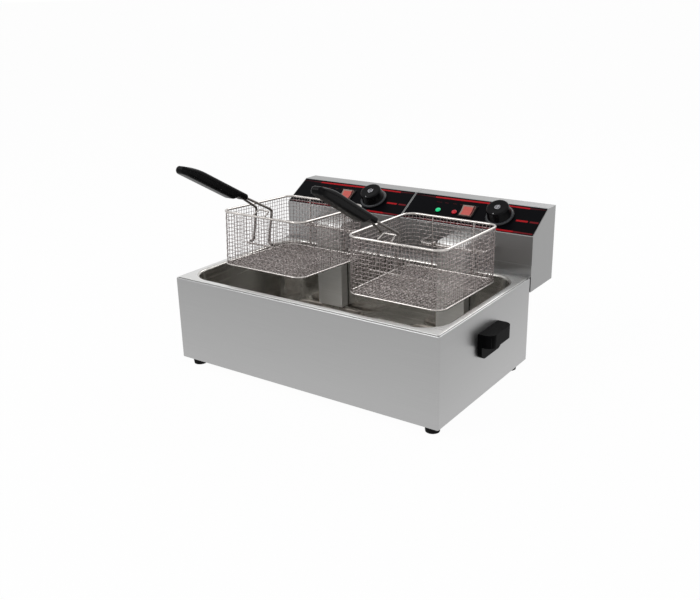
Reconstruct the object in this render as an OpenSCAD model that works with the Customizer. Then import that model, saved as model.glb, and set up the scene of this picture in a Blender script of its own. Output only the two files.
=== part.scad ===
// Double countertop deep fryer: one wide basin in a sheet-metal casing, two lift-off
// control heads with their heating elements, and two wire baskets hung up to drain.
// Millimetres, +Z up, the front of the fryer faces -Y.

/* [Casing] */
// Width of the casing
casing_w = 560; // [520:1:640]
// Depth of the casing
casing_d = 335; // [315:1:380]
// Height of the casing without its feet
casing_h = 160; // [140:1:220]
// Thickness of the casing's sheet
casing_sheet = 1; // [0.8:0.1:1.5]
// Outer radius of the casing's upright bends
casing_bend_r = 3; // [2:0.5:8]
// Width of the folds along the casing's top and bottom edges
casing_fold = 12; // [8:1:13]

/* [Feet] */
// Height of a rubber foot
foot_h = 15; // [8:1:30]
// Diameter of a foot at the floor
foot_d = 24; // [16:1:30]
// Diameter of a foot at the casing
foot_top_d = 28; // [18:1:32]
// Distance from a foot's centre to the casing's side and front
foot_inset = 23; // [17:1:40]
// Diameter of a foot screw's shank
foot_screw_d = 5; // [3:0.5:6]

/* [Basin] */
// Distance from the casing's side to the basin's opening
tank_side_margin = 17; // [16:1:30]
// Distance from the casing's front and rear to the basin's opening
tank_front_margin = 17; // [16:1:24]
// Free height under the basin
tank_under_gap = 14; // [8:1:30]
// Corner radius of the basin's opening
tank_corner_r = 48; // [20:1:70]
// Thickness of the basin's sheet
tank_sheet = 1; // [0.8:0.1:1.5]
// Distance from the casing's face to the edge of the basin's flange
flange_inset = 3; // [1:0.5:6]
// Thickness of the basin's flange
flange_t = 1.2; // [1:0.1:2]

/* [Side handles] */
// Length of a side handle, front to rear
carry_l = 76; // [60:1:110]
// Height of a side handle
carry_h = 46; // [42:1:66]
// How far a side handle stands out of the casing
carry_out = 27; // [24:1:40]
// Height of the grip's outer wall
carry_lip_h = 23; // [20:1:34]
// Wall thickness of a side handle
carry_wall = 4; // [3:0.5:6]
// Thickness of the back of a side handle, against the casing
carry_plate = 8; // [5:0.5:9]
// Distance from the casing's top edge to a side handle
carry_drop = 39; // [30:1:60]
// Corner radius of a side handle
carry_corner_r = 14; // [6:1:18]
// Distance between a side handle's two screws
carry_screw_pitch = 44; // [30:1:60]
// Diameter of a side handle's screws
carry_screw_d = 5; // [3:0.5:6]

/* [Heads] */
// Gap between the casing's rear face and a head's front face
head_gap = 4; // [2:0.5:8]
// Gap between the two heads
head_side_gap = 1; // [0.5:0.5:4]
// How far a head reaches below the casing's top edge
head_drop = 29; // [15:1:60]
// Height from the casing's top edge to the foot of the sloped panel
head_rise = 76; // [66:1:100]
// Length of the sloped panel, measured along the slope
slope_len = 76; // [72:1:100]
// Angle of the sloped panel above the horizontal
slope_angle = 30; // [20:1:45]
// Depth of a head's flat top
head_top_d = 33; // [20:1:60]
// Thickness of a head's sheet
head_sheet = 1; // [0.8:0.1:1.5]
// How far a head's lip reaches over the basin's flange
head_lip = 14; // [10:1:17]
// Width of the folds that carry a head's back cover
head_fold = 10; // [8:1:14]
// Diameter of a back cover's screws
cover_screw_d = 4; // [3:0.5:5]

/* [Control panel] */
// Thickness of the printed control panel
overlay_t = 0.8; // [0.5:0.1:1.5]
// Bare edge round the control panel
overlay_edge = 2; // [1:0.5:4]
// Distance of the knob up the slope
knob_s = 38; // [36:1:42]
// Knob's distance from the head's centre, to the right
knob_x = 58; // [50:1:80]
// Diameter of the knob's skirt
knob_skirt_d = 56; // [48:1:62]
// Thickness of the knob's skirt
knob_skirt_t = 3; // [2:0.5:5]
// Diameter of the knob's body at the skirt
knob_base_d = 46; // [36:1:48]
// Diameter of the knob's body at the top
knob_top_d = 42; // [30:1:44]
// Height of the knob above its skirt
knob_h = 20; // [14:1:28]
// Diameter of the silver disc in the knob's top
knob_disc_d = 13; // [8:1:20]
// Diameter of the thermostat's shaft
shaft_d = 6; // [5:0.5:8]
// Rocker switch's distance from the head's centre, to the left
rocker_x = 9; // [7:1:12]
// Distance of the rocker switch up the slope
rocker_s = 39.5; // [36:0.5:42]
// Width of the rocker switch's bezel
bezel_w = 31.5; // [28:0.5:32]
// Length of the rocker switch's bezel, up the slope
bezel_l = 33; // [31:0.5:36]
// Height of the rocker switch's bezel
bezel_h = 2; // [1.5:0.25:3]
// Width of the bezel's edge round the rocker
bezel_edge = 2.6; // [2.5:0.1:3.2]
// Angle through which the rocker switches
rocker_throw = 16; // [10:1:20]
// Red lamp's distance from the head's centre, to the left
red_lamp_x = 35; // [33:1:40]
// Green lamp's distance from the head's centre, to the left
green_lamp_x = 70; // [60:1:100]
// Distance of the lamps up the slope
lamp_s = 33; // [28:1:44]
// Diameter of a lamp's lens
lamp_d = 11; // [8:0.5:14]

/* [Heating] */
// Diameter of the heating element's tube
element_d = 8; // [6:0.5:9]
// Height of the element's loops above the basin's floor
element_rise = 18; // [12:1:30]
// Radius of the element's inner bends
element_bend_r = 20; // [14:1:22]
// Distance from the element's front bends to the basin's front wall
element_front_gap = 36; // [20:1:60]
// Distance between the element's two upright legs
element_leg_pitch = 24; // [22:1:30]
// Diameter of the thermostat's bulb
bulb_d = 7; // [5:0.5:8]
// Length of the thermostat's bulb
bulb_l = 70; // [50:1:80]
// Diameter of the capillary tube
capillary_d = 2.4; // [1.6:0.1:3]

/* [Element guards] */
// Width of an element guard
guard_w = 59; // [54:1:70]
// Depth of the part of a guard that stands in the basin
guard_d = 20.5; // [18:0.5:24]
// Gap between a guard and the basin's rear wall
guard_gap = 2.5; // [1.5:0.5:6]
// Gap between a guard's lower edge and the element's loops
guard_foot_gap = 3; // [2:0.5:10]
// Height of a guard's top above the casing's top edge
guard_top = 55; // [48:1:60]
// Radius of the bend at a guard's top front edge
guard_bend_r = 9; // [4:1:12]
// Sideways shift of a guard from its head's centre
guard_shift = -2; // [-6:1:6]

/* [Basket hangers] */
// Diameter of a hanger rod
rod_d = 5; // [4:0.5:6]
// Outer width of a hanger rod's loop
rod_w = 140; // [134:1:170]
// Corner radius of a hanger rod
rod_bend_r = 16; // [8:1:18]
// Height of a hanger rod above the casing's top edge
rod_rise = 47; // [42:1:50]

/* [Baskets] */
// Width of a basket between wire centres
basket_w = 185; // [160:1:200]
// Depth of a basket between wire centres
basket_d = 204; // [160:1:205]
// Height of a basket between wire centres
basket_h = 100; // [85:1:101]
// Corner radius of a basket
basket_corner_r = 20; // [10:1:30]
// Diameter of a basket's rim wire
rim_d = 4.5; // [3:0.5:6]
// Diameter of the wire round a basket's floor
floor_wire_d = 3.5; // [2.5:0.5:5]
// Diameter of the two braces under a basket's floor
brace_d = 2.6; // [2:0.1:3]
// Thickness of the mesh panels
mesh_t = 1.2; // [1:0.1:2]
// Spacing of the mesh panels' bars
mesh_pitch = 18; // [12:1:24]
// Width of the mesh panels' bars
mesh_bar = 2.4; // [1.6:0.1:4]
// Height of a basket's rim above its hanger rod
rim_rise = 57; // [50:1:70]
// Distance between a basket's two hooks
hook_pitch = 84; // [80:1:92]
// Diameter of the hook wires
hook_d = 3.5; // [2.5:0.5:4]
// Gap between a basket's rear wall and its hanger rod
hook_reach = 7; // [6:0.5:12]
// How far the hooks reach down behind the hanger rod
hook_down = 9; // [5:1:14]
// Angle by which the left basket's front hangs high
left_tilt = 3; // [0:0.5:3]
// Angle by which the right basket's front hangs high
right_tilt = 1; // [0:0.5:3]
// How far the left basket hangs to the right of its head's middle
left_basket_shift = 2; // [-8:1:8]
// How far the right basket hangs to the right of its head's middle
right_basket_shift = 6; // [-8:1:8]

/* [Basket handles] */
// Diameter of a basket handle's wire
fork_d = 4.5; // [4:0.5:6]
// Distance between a handle's two legs
fork_pitch = 36; // [32:1:50]
// Height of a handle's bends above the rim
fork_rise = 14; // [12:1:40]
// How far a handle's legs reach below the rim
fork_drop = 48; // [30:1:60]
// Length of a handle's feet, to the sides
fork_foot = 8; // [5:1:12]
// Length of a handle's wires between their bends and the grip
fork_run = 60; // [45:1:80]
// Angle of those wires above the horizontal when the legs are upright
fork_angle = 18.5; // [10:0.5:35]
// How far the left handle sits to the right of its basket's middle
left_handle_shift = -1; // [-18:1:18]
// How far the right handle sits to the right of its basket's middle
right_handle_shift = -16; // [-18:1:18]
// How far the left handle leans back in its seat, in degrees
left_handle_lean = 9; // [0:0.5:14]
// How far the right handle leans back in its seat, in degrees
right_handle_lean = 12; // [0:0.5:14]
// Length of a basket handle's grip
grip_l = 164; // [150:1:220]
// Height of a grip
grip_h = 19; // [17:0.5:24]
// Width of a grip
grip_w = 24; // [22:1:30]
// Angle of a grip above the horizontal when the legs are upright
grip_angle = 17.5; // [8:0.5:30]
// Distance between the wires inside a grip
grip_wire_pitch = 13; // [12:0.5:14]
// Depth to which the wires are set into a grip
grip_set = 60; // [40:1:90]

/* [Cable inlet] */
// Radius of the cable gland's bore
gland_bore_r = 4.2; // [3.5:0.1:6]
// Outer diameter of the cable gland's nut
gland_d = 22; // [18:1:28]
// How far the cable gland stands out of the back cover
gland_out = 18; // [12:1:30]
// Height of the cable gland above a head's floor
gland_rise = 28; // [20:1:60]

/* [Hidden] */

LEFT = -1;
RIGHT = 1;
$fn = 48;

// Clearances
seat_gap = 0.2;       // between flat faces that rest on each other
running_gap = 0.3;    // between a basket's wires and what they hang on or slide in
bore_gap = 0.05;      // radial, round a shaft, pin or wire in its bore
cover_gap = 0.3;      // round a back cover in its opening
cut = 1;              // how far a cutting solid runs past what it cuts

// Casing and basin
half_d = casing_d / 2;
tank_w = casing_w - 2 * tank_side_margin;
tank_d = casing_d - 2 * tank_front_margin;
tank_floor_z = tank_under_gap + tank_sheet;
flange_z = casing_h + seat_gap;
flange_top_z = flange_z + flange_t;
tank_back_y = tank_d / 2;

// Heads
head_pitch = casing_w / 4;
head_w = casing_w / 2 - head_side_gap;
head_front_y = half_d + head_gap;
head_floor_z = casing_h - head_drop;
slope_z = casing_h + head_rise;
slope_run = slope_len * cos(slope_angle);
slope_lift = slope_len * sin(slope_angle);
head_top_z = slope_z + slope_lift;
head_back_y = head_front_y + slope_run + head_top_d;
lip_z = flange_top_z + seat_gap;
hanger_h = 20;
hanger_gap = 1;

// Guards, rods and elements
guard_back_y = tank_back_y - guard_gap;
guard_front_y = guard_back_y - guard_d;
guard_top_z = casing_h + guard_top;
element_z = tank_floor_z + element_rise;
guard_foot_z = element_z + element_d / 2 + guard_foot_gap;
guard_arm_z = lip_z + head_sheet + seat_gap;
leg_y = (guard_front_y + guard_back_y) / 2;
arm_z = (guard_arm_z + guard_top_z) / 2;
arm_bend_r = 10;
rod_y = guard_front_y - seat_gap - rod_d / 2;
rod_z = casing_h + rod_rise;

// Baskets, in a frame that starts at the hanger rod's centre line
rear_y = -(rod_d / 2 + hook_reach);
front_y = rear_y - basket_d;
rim_z = rim_rise;
floor_z = rim_z - basket_h;
hook_top_z = rod_d / 2 + running_gap + hook_d / 2;
hook_back_y = rod_d / 2 + running_gap + hook_d / 2;
hook_wall_y = rear_y + mesh_t / 2 + seat_gap + hook_d / 2;
fork_y = front_y + (rim_d + fork_d) / 2 + running_gap;
fork_top_z = rim_z + fork_rise;
fork_foot_z = rim_z - fork_drop;
fork_bend_r = 7;
// Where the wires bend in front of the grip, and where the grip starts
bend_y = fork_y - fork_run * cos(fork_angle);
bend_z = fork_top_z + fork_run * sin(fork_angle);
grip_lead = 3;
grip_y = bend_y - grip_lead * cos(grip_angle);
grip_z = bend_z + grip_lead * sin(grip_angle);
seat_d = 3;
seat_half = fork_pitch / 2 - fork_d / 2 - seat_d / 2 - 1;
seat_bar_z = fork_foot_z - fork_d / 2 - running_gap - seat_d / 2;
seat_bend_r = 3;
hoop_h = 10;

// Grip outline: along the grip from its wire end, and up from its wires
grip_over = 6;
grip_under = 5;
grip_neck = 18;
grip_deep = 34;
grip_tip_r = 6.5;
grip_curve = 52;
// Where the flanks' recesses start along the grip, and their lengths
recess_at = [38, 70];
recess_l = [27, 48];
recess_h = 6;
recess_deep = 3;
recess_rim = 3;
// The hanging eye
eye_d = 5;
eye_from_tip = 18;
eye_up = 7;

// Everything is shifted so that the origin is under the middle of the whole fryer
function tilt(side) = side == LEFT ? left_tilt : right_tilt;
function lean(side) = side == LEFT ? left_handle_lean : right_handle_lean;
function tip_y(side) =
  let (turn = tilt(side) + lean(side))
    rod_y
    + fork_y * cos(tilt(side)) + fork_foot_z * sin(tilt(side))
    + (grip_y - fork_y) * cos(turn) + (grip_z - fork_foot_z) * sin(turn)
    - (grip_l - grip_tip_r) * cos(grip_angle + turn)
    + (grip_over - grip_h + grip_tip_r) * sin(grip_angle + turn)
    - grip_tip_r;
y_front = min(tip_y(LEFT), tip_y(RIGHT));
y_rear = head_back_y + gland_out;
y_shift = -(y_front + y_rear) / 2;

// ---------------------------------------------------------------- placing

module on_floor() translate([0, y_shift, foot_h]) children();

module at_head(side) on_floor() translate([side * head_pitch, 0, 0]) children();

module on_slope(side, x, s)
  at_head(side)
    translate([x, head_front_y, slope_z])
      rotate([slope_angle, 0, 0])
        translate([0, s, 0])
          children();

module at_basket(side)
  at_head(side)
    translate([side == RIGHT ? right_basket_shift : left_basket_shift, rod_y, rod_z])
      rotate([-tilt(side), 0, 0])
        children();

module at_seat(side)
  at_basket(side)
    translate([side == RIGHT ? right_handle_shift : left_handle_shift, 0, 0])
      children();

// A handle leans back about its feet
module at_handle(side)
  at_seat(side)
    translate([0, fork_y, fork_foot_z])
      rotate([-lean(side), 0, 0])
        translate([0, -fork_y, -fork_foot_z])
          children();

// ---------------------------------------------------------------- shapes

// A rectangle with round corners
module round_rect(w, d, r) {
  square([w - 2 * r, d], center = true);
  square([w, d - 2 * r], center = true);
  for (x = [-1, 1], y = [-1, 1])
    translate([x * (w / 2 - r), y * (d / 2 - r)]) circle(r = r);
}

// A flat outline given as [y, z] points, extruded to a width that is centred on x = 0
module across(w)
  translate([-w / 2, 0, 0])
    rotate([90, 0, 90])
      linear_extrude(height = w)
        children();

// A straight round bar between two points
module bar(from, to, d) {
  v = to - from;
  length = norm(v);
  translate(from)
    rotate([0, acos(v[2] / length), atan2(v[1], v[0])])
      cylinder(h = length, d = d);
}

// A round wire along straight runs, with a bend at every inner point. Its radius r is one number,
// or a list with one number for each inner point. The bends are a hair thicker than the runs,
// and the runs reach a little way into them.
bend_bulge = 0.1;
bend_overlap = 0.3;

module wire(points, d, r) {
  last = len(points) - 1;
  run = [for (i = [0 : last - 1]) (points[i + 1] - points[i]) / norm(points[i + 1] - points[i])];
  turn = [for (i = [0 : last]) i == 0 || i == last ? 0 : acos(run[i - 1] * run[i])];
  radius = [for (i = [0 : last]) i == 0 || i == last ? 0 : is_list(r) ? r[i - 1] : r];
  trim = [for (i = [0 : last]) radius[i] * tan(turn[i] / 2)];
  reach = [for (i = [0 : last]) trim[i] - (i == 0 || i == last ? 0 : bend_overlap)];
  for (i = [0 : last - 1])
    bar(points[i] + run[i] * reach[i], points[i + 1] - run[i] * reach[i + 1], d);
  if (last > 1)
    for (i = [1 : last - 1]) {
      along = run[i - 1];
      aside = run[i] - along * (along * run[i]);
      x = -aside / norm(aside);
      z = cross(x, along);
      o = points[i] - along * trim[i] - x * radius[i];
      multmatrix([[x[0], along[0], z[0], o[0]], [x[1], along[1], z[1], o[1]],
          [x[2], along[2], z[2], o[2]], [0, 0, 0, 1]])
        rotate_extrude(angle = turn[i]) translate([radius[i], 0]) circle(d = d + bend_bulge);
    }
}

// A quarter bend of round bar in the XY plane, round the origin, from +X to +Y
module quarter_bend(r, d) rotate_extrude(angle = 90) translate([r, 0]) circle(d = d);

// A closed loop of round bar with round corners, in the XY plane
module wire_loop(w, l, r, d) {
  for (y = [-1, 1])
    bar([-(w / 2 - r), y * l / 2, 0], [w / 2 - r, y * l / 2, 0], d);
  for (x = [-1, 1])
    bar([x * w / 2, -(l / 2 - r), 0], [x * w / 2, l / 2 - r, 0], d);
  for (i = [0 : 3])
    translate([(i == 0 || i == 3 ? 1 : -1) * (w / 2 - r), (i < 2 ? 1 : -1) * (l / 2 - r), 0])
      rotate([0, 0, 90 * i])
        quarter_bend(r, d);
}

// A flat sheet of mesh in the XY plane, centred on the origin: a plate with square windows
module mesh_sheet(w, h) {
  nx = floor((w - mesh_bar) / mesh_pitch);
  ny = floor((h - mesh_bar) / mesh_pitch);
  px = (w - mesh_bar) / nx;
  py = (h - mesh_bar) / ny;
  difference() {
    cube([w, h, mesh_t], center = true);
    for (i = [0 : nx - 1], j = [0 : ny - 1])
      translate([(i - (nx - 1) / 2) * px, (j - (ny - 1) / 2) * py, 0])
        cube([px - mesh_bar, py - mesh_bar, mesh_t + 2 * cut], center = true);
  }
}

// A pan-head screw that points along -Z, with its head on z = 0
module screw(d, l) {
  cylinder(h = d * 0.55, d = d * 1.9);
  translate([0, 0, -l]) cylinder(h = l, d = d);
}

// ---------------------------------------------------------------- casing

foot_x = casing_w / 2 - foot_inset;
foot_y = half_d - foot_inset;
carry_mid_z = casing_h - carry_drop - carry_h / 2;
carry_screw_z = carry_h / 2 - 11;

module at_feet() for (x = [-1, 1], y = [-1, 1]) translate([x * foot_x, y * foot_y, 0]) children();

module at_carry_screws()
  for (y = [-1, 1]) translate([0, y * carry_screw_pitch / 2, carry_mid_z + carry_screw_z]) children();

module casing() color("silver") on_floor() difference() {
  linear_extrude(height = casing_h) round_rect(casing_w, casing_d, casing_bend_r);
  translate([0, 0, casing_sheet])
    linear_extrude(height = casing_h - 2 * casing_sheet)
      round_rect(casing_w - 2 * casing_sheet, casing_d - 2 * casing_sheet, casing_bend_r - casing_sheet);
  translate([0, 0, -cut])
    linear_extrude(height = casing_h + 2 * cut)
      round_rect(casing_w - 2 * casing_fold, casing_d - 2 * casing_fold, casing_bend_r);
  at_feet() translate([0, 0, -cut]) cylinder(h = 3 * cut, d = foot_screw_d + 2 * bore_gap);
  for (x = [-1, 1])
    translate([x * (casing_w / 2 - casing_sheet / 2), 0, 0])
      at_carry_screws()
        rotate([0, 90, 0])
          cylinder(h = casing_sheet + 2 * cut, d = carry_screw_d + 2 * bore_gap, center = true);
}

module base_plate() color("darkgray") on_floor() translate([0, 0, casing_sheet]) difference() {
  linear_extrude(height = casing_sheet)
    round_rect(casing_w - 2 * casing_sheet - 2 * seat_gap, casing_d - 2 * casing_sheet - 2 * seat_gap,
      casing_bend_r);
  at_feet() translate([0, 0, -cut]) cylinder(h = 3 * cut, d = foot_screw_d + 2 * bore_gap);
}

foot_screw_l = foot_h * 0.6 + 2 * casing_sheet;

module feet() color("black") translate([0, y_shift, 0]) at_feet() difference() {
  cylinder(h = foot_h, d1 = foot_d, d2 = foot_top_d);
  translate([0, 0, foot_h + 2 * casing_sheet - foot_screw_l - bore_gap])
    cylinder(h = foot_screw_l, d = foot_screw_d + 2 * bore_gap);
}

module foot_screws() color("gray") on_floor() at_feet()
  translate([0, 0, 2 * casing_sheet]) screw(foot_screw_d, foot_screw_l);

// ---------------------------------------------------------------- basin

module tank() color("gainsboro") on_floor() difference() {
  union() {
    translate([0, 0, tank_under_gap])
      linear_extrude(height = flange_z - tank_under_gap + flange_t / 2)
        round_rect(tank_w + 2 * tank_sheet, tank_d + 2 * tank_sheet, tank_corner_r + tank_sheet);
    translate([0, 0, flange_z])
      linear_extrude(height = flange_t)
        round_rect(casing_w - 2 * flange_inset, casing_d - 2 * flange_inset, casing_bend_r);
  }
  translate([0, 0, tank_floor_z])
    linear_extrude(height = casing_h)
      round_rect(tank_w, tank_d, tank_corner_r);
}

// ---------------------------------------------------------------- side handles

// Side handle in its own frame: back face on x = 0, middle at the origin, opening down
module carry_shape() {
  plate_t = carry_plate;
  top = carry_h / 2;
  lip = top - carry_lip_h;
  intersection() {
    difference() {
      union() {
        rotate([90, 0, 90]) linear_extrude(height = plate_t) round_rect(carry_l, carry_h, carry_corner_r);
        translate([0, -carry_l / 2, lip]) cube([carry_out, carry_l, carry_lip_h]);
      }
      translate([plate_t, -carry_l / 2 + carry_wall, lip - cut])
        cube([carry_out - plate_t - carry_wall, carry_l - 2 * carry_wall, carry_lip_h - carry_wall + cut]);
      for (y = [-1, 1])
        translate([-cut, y * carry_screw_pitch / 2, carry_screw_z])
          rotate([0, 90, 0])
            cylinder(h = plate_t + 2 * cut, d = carry_screw_d + 2 * bore_gap);
    }
    translate([0, 0, -carry_h]) linear_extrude(height = 2 * carry_h)
      round_rect(2 * carry_out, carry_l, carry_corner_r);
  }
}

module side_handle(side) color("black") on_floor()
  translate([side * casing_w / 2, 0, carry_mid_z])
    mirror([side == LEFT ? 1 : 0, 0, 0])
      carry_shape();

module side_handle_screws() color("gray") on_floor()
  for (side = [LEFT, RIGHT])
    translate([side * (casing_w / 2 - casing_sheet), 0, 0])
      at_carry_screws()
        rotate([0, side * -90, 0])
          screw(carry_screw_d, casing_sheet + carry_plate);

// ---------------------------------------------------------------- heads

// A head's outline in the YZ plane, inset by its sheet when inset is above 0
module head_profile(inset) polygon([
  [head_front_y + inset, head_floor_z + inset],
  [head_front_y + inset, slope_z - inset * tan(45 - slope_angle / 2)],
  [head_front_y + slope_run + inset * tan(slope_angle / 2), head_top_z - inset],
  [head_back_y + (inset > 0 ? cut : 0), head_top_z - inset],
  [head_back_y + (inset > 0 ? cut : 0), head_floor_z + inset]]);

cover_screw_x = head_w / 2 - head_sheet - head_fold / 2;
cover_screw_low_z = head_floor_z + head_sheet + head_fold / 2;
cover_screw_high_z = head_top_z - head_sheet - head_fold / 2;

module at_cover_screws()
  for (x = [-1, 1], z = [cover_screw_low_z, cover_screw_high_z])
    translate([x * cover_screw_x, head_back_y - head_sheet, z]) rotate([-90, 0, 0]) children();

module head_cover(side) color("silver") difference() {
  union() {
    at_head(side) difference() {
      across(head_w) head_profile(0);
      across(head_w - 2 * head_sheet) head_profile(head_sheet);
    }
    at_head(side) difference() {
      translate([-head_w / 2 + head_sheet / 2, head_back_y - 2 * head_sheet - seat_gap,
          head_floor_z + head_sheet / 2])
        cube([head_w - head_sheet, head_sheet, head_top_z - head_floor_z - head_sheet]);
      translate([-head_w / 2 + head_sheet + head_fold, head_back_y - 4 * head_sheet,
          head_floor_z + head_sheet + head_fold])
        cube([head_w - 2 * head_sheet - 2 * head_fold, 4 * head_sheet,
            head_top_z - head_floor_z - 2 * head_sheet - 2 * head_fold]);
    }
  }
  at_head(side) {
    at_cover_screws()
      cylinder(h = 6 * head_sheet, d = cover_screw_d + 2 * bore_gap, center = true);
    for (x = [-1, 1])
      translate([guard_shift + x * element_leg_pitch / 2, head_front_y, arm_z])
        rotate([90, 0, 0])
          cylinder(h = 4 * cut, d = element_d + 2 * bore_gap, center = true);
    translate([guard_shift, head_front_y, arm_z])
      rotate([90, 0, 0])
        cylinder(h = 4 * cut, d = capillary_d + 2 * bore_gap, center = true);
  }
  panel_holes(side, head_sheet);
}

// The bracket by which a head hangs on the basin's flange: a lip, and a plate on the head's front
// that is cut out round the guard
module head_hanger(side) color("silver") at_head(side) difference() {
  union() {
    translate([-head_w / 2, head_front_y - head_lip, lip_z])
      cube([head_w, head_lip - seat_gap, head_sheet]);
    translate([-head_w / 2, head_front_y - seat_gap - head_sheet, lip_z])
      cube([head_w, head_sheet, hanger_h]);
  }
  translate([guard_shift - guard_w / 2 - hanger_gap, head_front_y - head_lip - cut, lip_z + head_sheet])
    cube([guard_w + 2 * hanger_gap, head_lip + 2 * cut, hanger_h]);
}

// The holes that the controls need in the sloped panel
module panel_holes(side, reach) {
  on_slope(side, knob_x, knob_s)
    cylinder(h = 4 * reach, d = bushing_d + 2 * bore_gap, center = true);
  on_slope(side, -rocker_x, rocker_s)
    cube([switch_w + 2 * seat_gap, switch_l + 2 * seat_gap, 4 * reach], center = true);
  on_slope(side, -red_lamp_x, lamp_s)
    cylinder(h = 4 * reach, d = lamp_body_d + 2 * bore_gap, center = true);
  on_slope(side, -green_lamp_x, lamp_s)
    cylinder(h = 4 * reach, d = lamp_body_d + 2 * bore_gap, center = true);
}

module head_back_cover(side) color("silver") at_head(side) difference() {
  translate([-head_w / 2 + head_sheet + cover_gap, head_back_y - head_sheet,
      head_floor_z + head_sheet + cover_gap])
    cube([head_w - 2 * (head_sheet + cover_gap), head_sheet,
        head_top_z - head_floor_z - 2 * (head_sheet + cover_gap)]);
  at_cover_screws() cylinder(h = 6 * head_sheet, d = cover_screw_d + 2 * bore_gap, center = true);
  translate([0, head_back_y, head_floor_z + gland_rise])
    rotate([90, 0, 0])
      cylinder(h = 4 * cut, d = gland_neck_d + 2 * bore_gap, center = true);
}

module head_screws(side) color("gray") at_head(side)
  at_cover_screws() translate([0, 0, head_sheet]) screw(cover_screw_d, 4 * head_sheet);

// ---------------------------------------------------------------- controls

bushing_d = 10;
bushing_h = 4;
switch_w = bezel_w - 3;
switch_l = bezel_l - 3;
switch_depth = 20;
lamp_body_d = lamp_d - 2.5;
lamp_depth = 18;
lamp_rim_t = 1.2;
knob_lift = overlay_t + 1.2;
shaft_h = knob_lift + knob_skirt_t + knob_h * 0.6;
thermostat_w = 34;
thermostat_h = 24;

module control_overlay(side) color("black") difference() {
  on_slope(side, 0, slope_len / 2)
    translate([0, 0, overlay_t / 2])
      cube([head_w - 2 * overlay_edge, slope_len - 2 * overlay_edge, overlay_t], center = true);
  panel_holes(side, overlay_t);
}

module knob(side) color("dimgray") on_slope(side, knob_x, knob_s) difference() {
  union() {
    translate([0, 0, knob_lift]) cylinder(h = knob_skirt_t, d = knob_skirt_d);
    translate([0, 0, knob_lift + knob_skirt_t]) cylinder(h = knob_h, d1 = knob_base_d, d2 = knob_top_d);
    translate([0, 0, knob_lift + knob_skirt_t + knob_h]) cylinder(h = 0.8, d = knob_disc_d);
  }
  translate([0, 0, -cut]) cylinder(h = shaft_h + seat_gap + cut, d = shaft_d + 2 * bore_gap);
}

module thermostat(side) color("gray") on_slope(side, knob_x, knob_s) {
  translate([-thermostat_w / 2, -thermostat_w / 2, -head_sheet - thermostat_h])
    cube([thermostat_w, thermostat_w, thermostat_h]);
  translate([0, 0, -head_sheet - cut]) cylinder(h = head_sheet + cut + overlay_t, d = bushing_d);
  translate([0, 0, -head_sheet - cut]) cylinder(h = head_sheet + cut + shaft_h, d = shaft_d);
}

pin_d = 2.4;
pin_depth = 3.5;
paddle_w = bezel_w - 2 * bezel_edge - 0.6;
paddle_l = bezel_l - 2 * bezel_edge - 0.6;
pin_z = overlay_t - pin_depth;
switch_wall = (switch_w - paddle_w - 0.6) / 2;

module rocker_frame(side) color("black") on_slope(side, -rocker_x, rocker_s) difference() {
  union() {
    translate([0, 0, overlay_t]) linear_extrude(height = bezel_h) round_rect(bezel_w, bezel_l, 2);
    translate([-switch_w / 2, -switch_l / 2, overlay_t - switch_depth])
      cube([switch_w, switch_l, switch_depth + bezel_h / 2]);
  }
  translate([-paddle_w / 2 - 0.3, -paddle_l / 2 - 0.3, overlay_t - switch_depth + 2])
    cube([paddle_w + 0.6, paddle_l + 0.6, switch_depth + bezel_h + cut]);
  translate([0, 0, pin_z])
    rotate([0, 90, 0])
      cylinder(h = paddle_w + 2 * switch_wall + 2 * cut, d = pin_d + 2 * bore_gap, center = true);
}

// The rocker's outline in the frame of its pin: [y, z], symmetrical, with a shallow valley on top
paddle_rise = pin_depth + bezel_h + 3;
module rocker_paddle(side) color("red") on_slope(side, -rocker_x, rocker_s)
  translate([0, 0, pin_z]) rotate([rocker_throw / 2, 0, 0]) {
    across(paddle_w) polygon([
      [-(paddle_l / 2 - 1.6), paddle_rise], [0, paddle_rise - 1.8], [paddle_l / 2 - 1.6, paddle_rise],
      [paddle_l / 2 - 0.8, 3], [4, -4], [-4, -4], [-(paddle_l / 2 - 0.8), 3]]);
    rotate([0, 90, 0]) cylinder(h = paddle_w + 2 * (0.3 + switch_wall) - 0.2, d = pin_d, center = true);
  }

module lamp(side, x) on_slope(side, -x, lamp_s) {
  translate([0, 0, overlay_t]) cylinder(h = lamp_rim_t, d = lamp_d);
  translate([0, 0, overlay_t + lamp_rim_t]) cylinder(h = 1.6, d1 = lamp_d - 2, d2 = lamp_d - 4);
  translate([0, 0, -lamp_depth]) cylinder(h = lamp_depth + overlay_t, d = lamp_body_d);
}

module green_lamp(side) color("lime") lamp(side, green_lamp_x);

module red_lamp(side) color("red") lamp(side, red_lamp_x);

// ---------------------------------------------------------------- inside a head

block_w = 56;
block_d = 24;
block_h = 20;
block_x = -32;
block_rear = 38;
limit_x = 45;
limit_d = 22;
limit_l = 14;
limit_stem_d = 9;
limit_stem_l = 24;

module terminal_block(side) color("ivory") at_head(side)
  translate([block_x - block_w / 2, head_back_y - block_rear - block_d, head_floor_z + head_sheet])
    cube([block_w, block_d, block_h]);

module limit_thermostat(side) color("gray") at_head(side)
  translate([guard_shift + limit_x, head_front_y + head_sheet, arm_z]) rotate([-90, 0, 0]) {
    cylinder(h = limit_l, d = limit_d);
    cylinder(h = limit_stem_l, d = limit_stem_d);
  }

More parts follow.
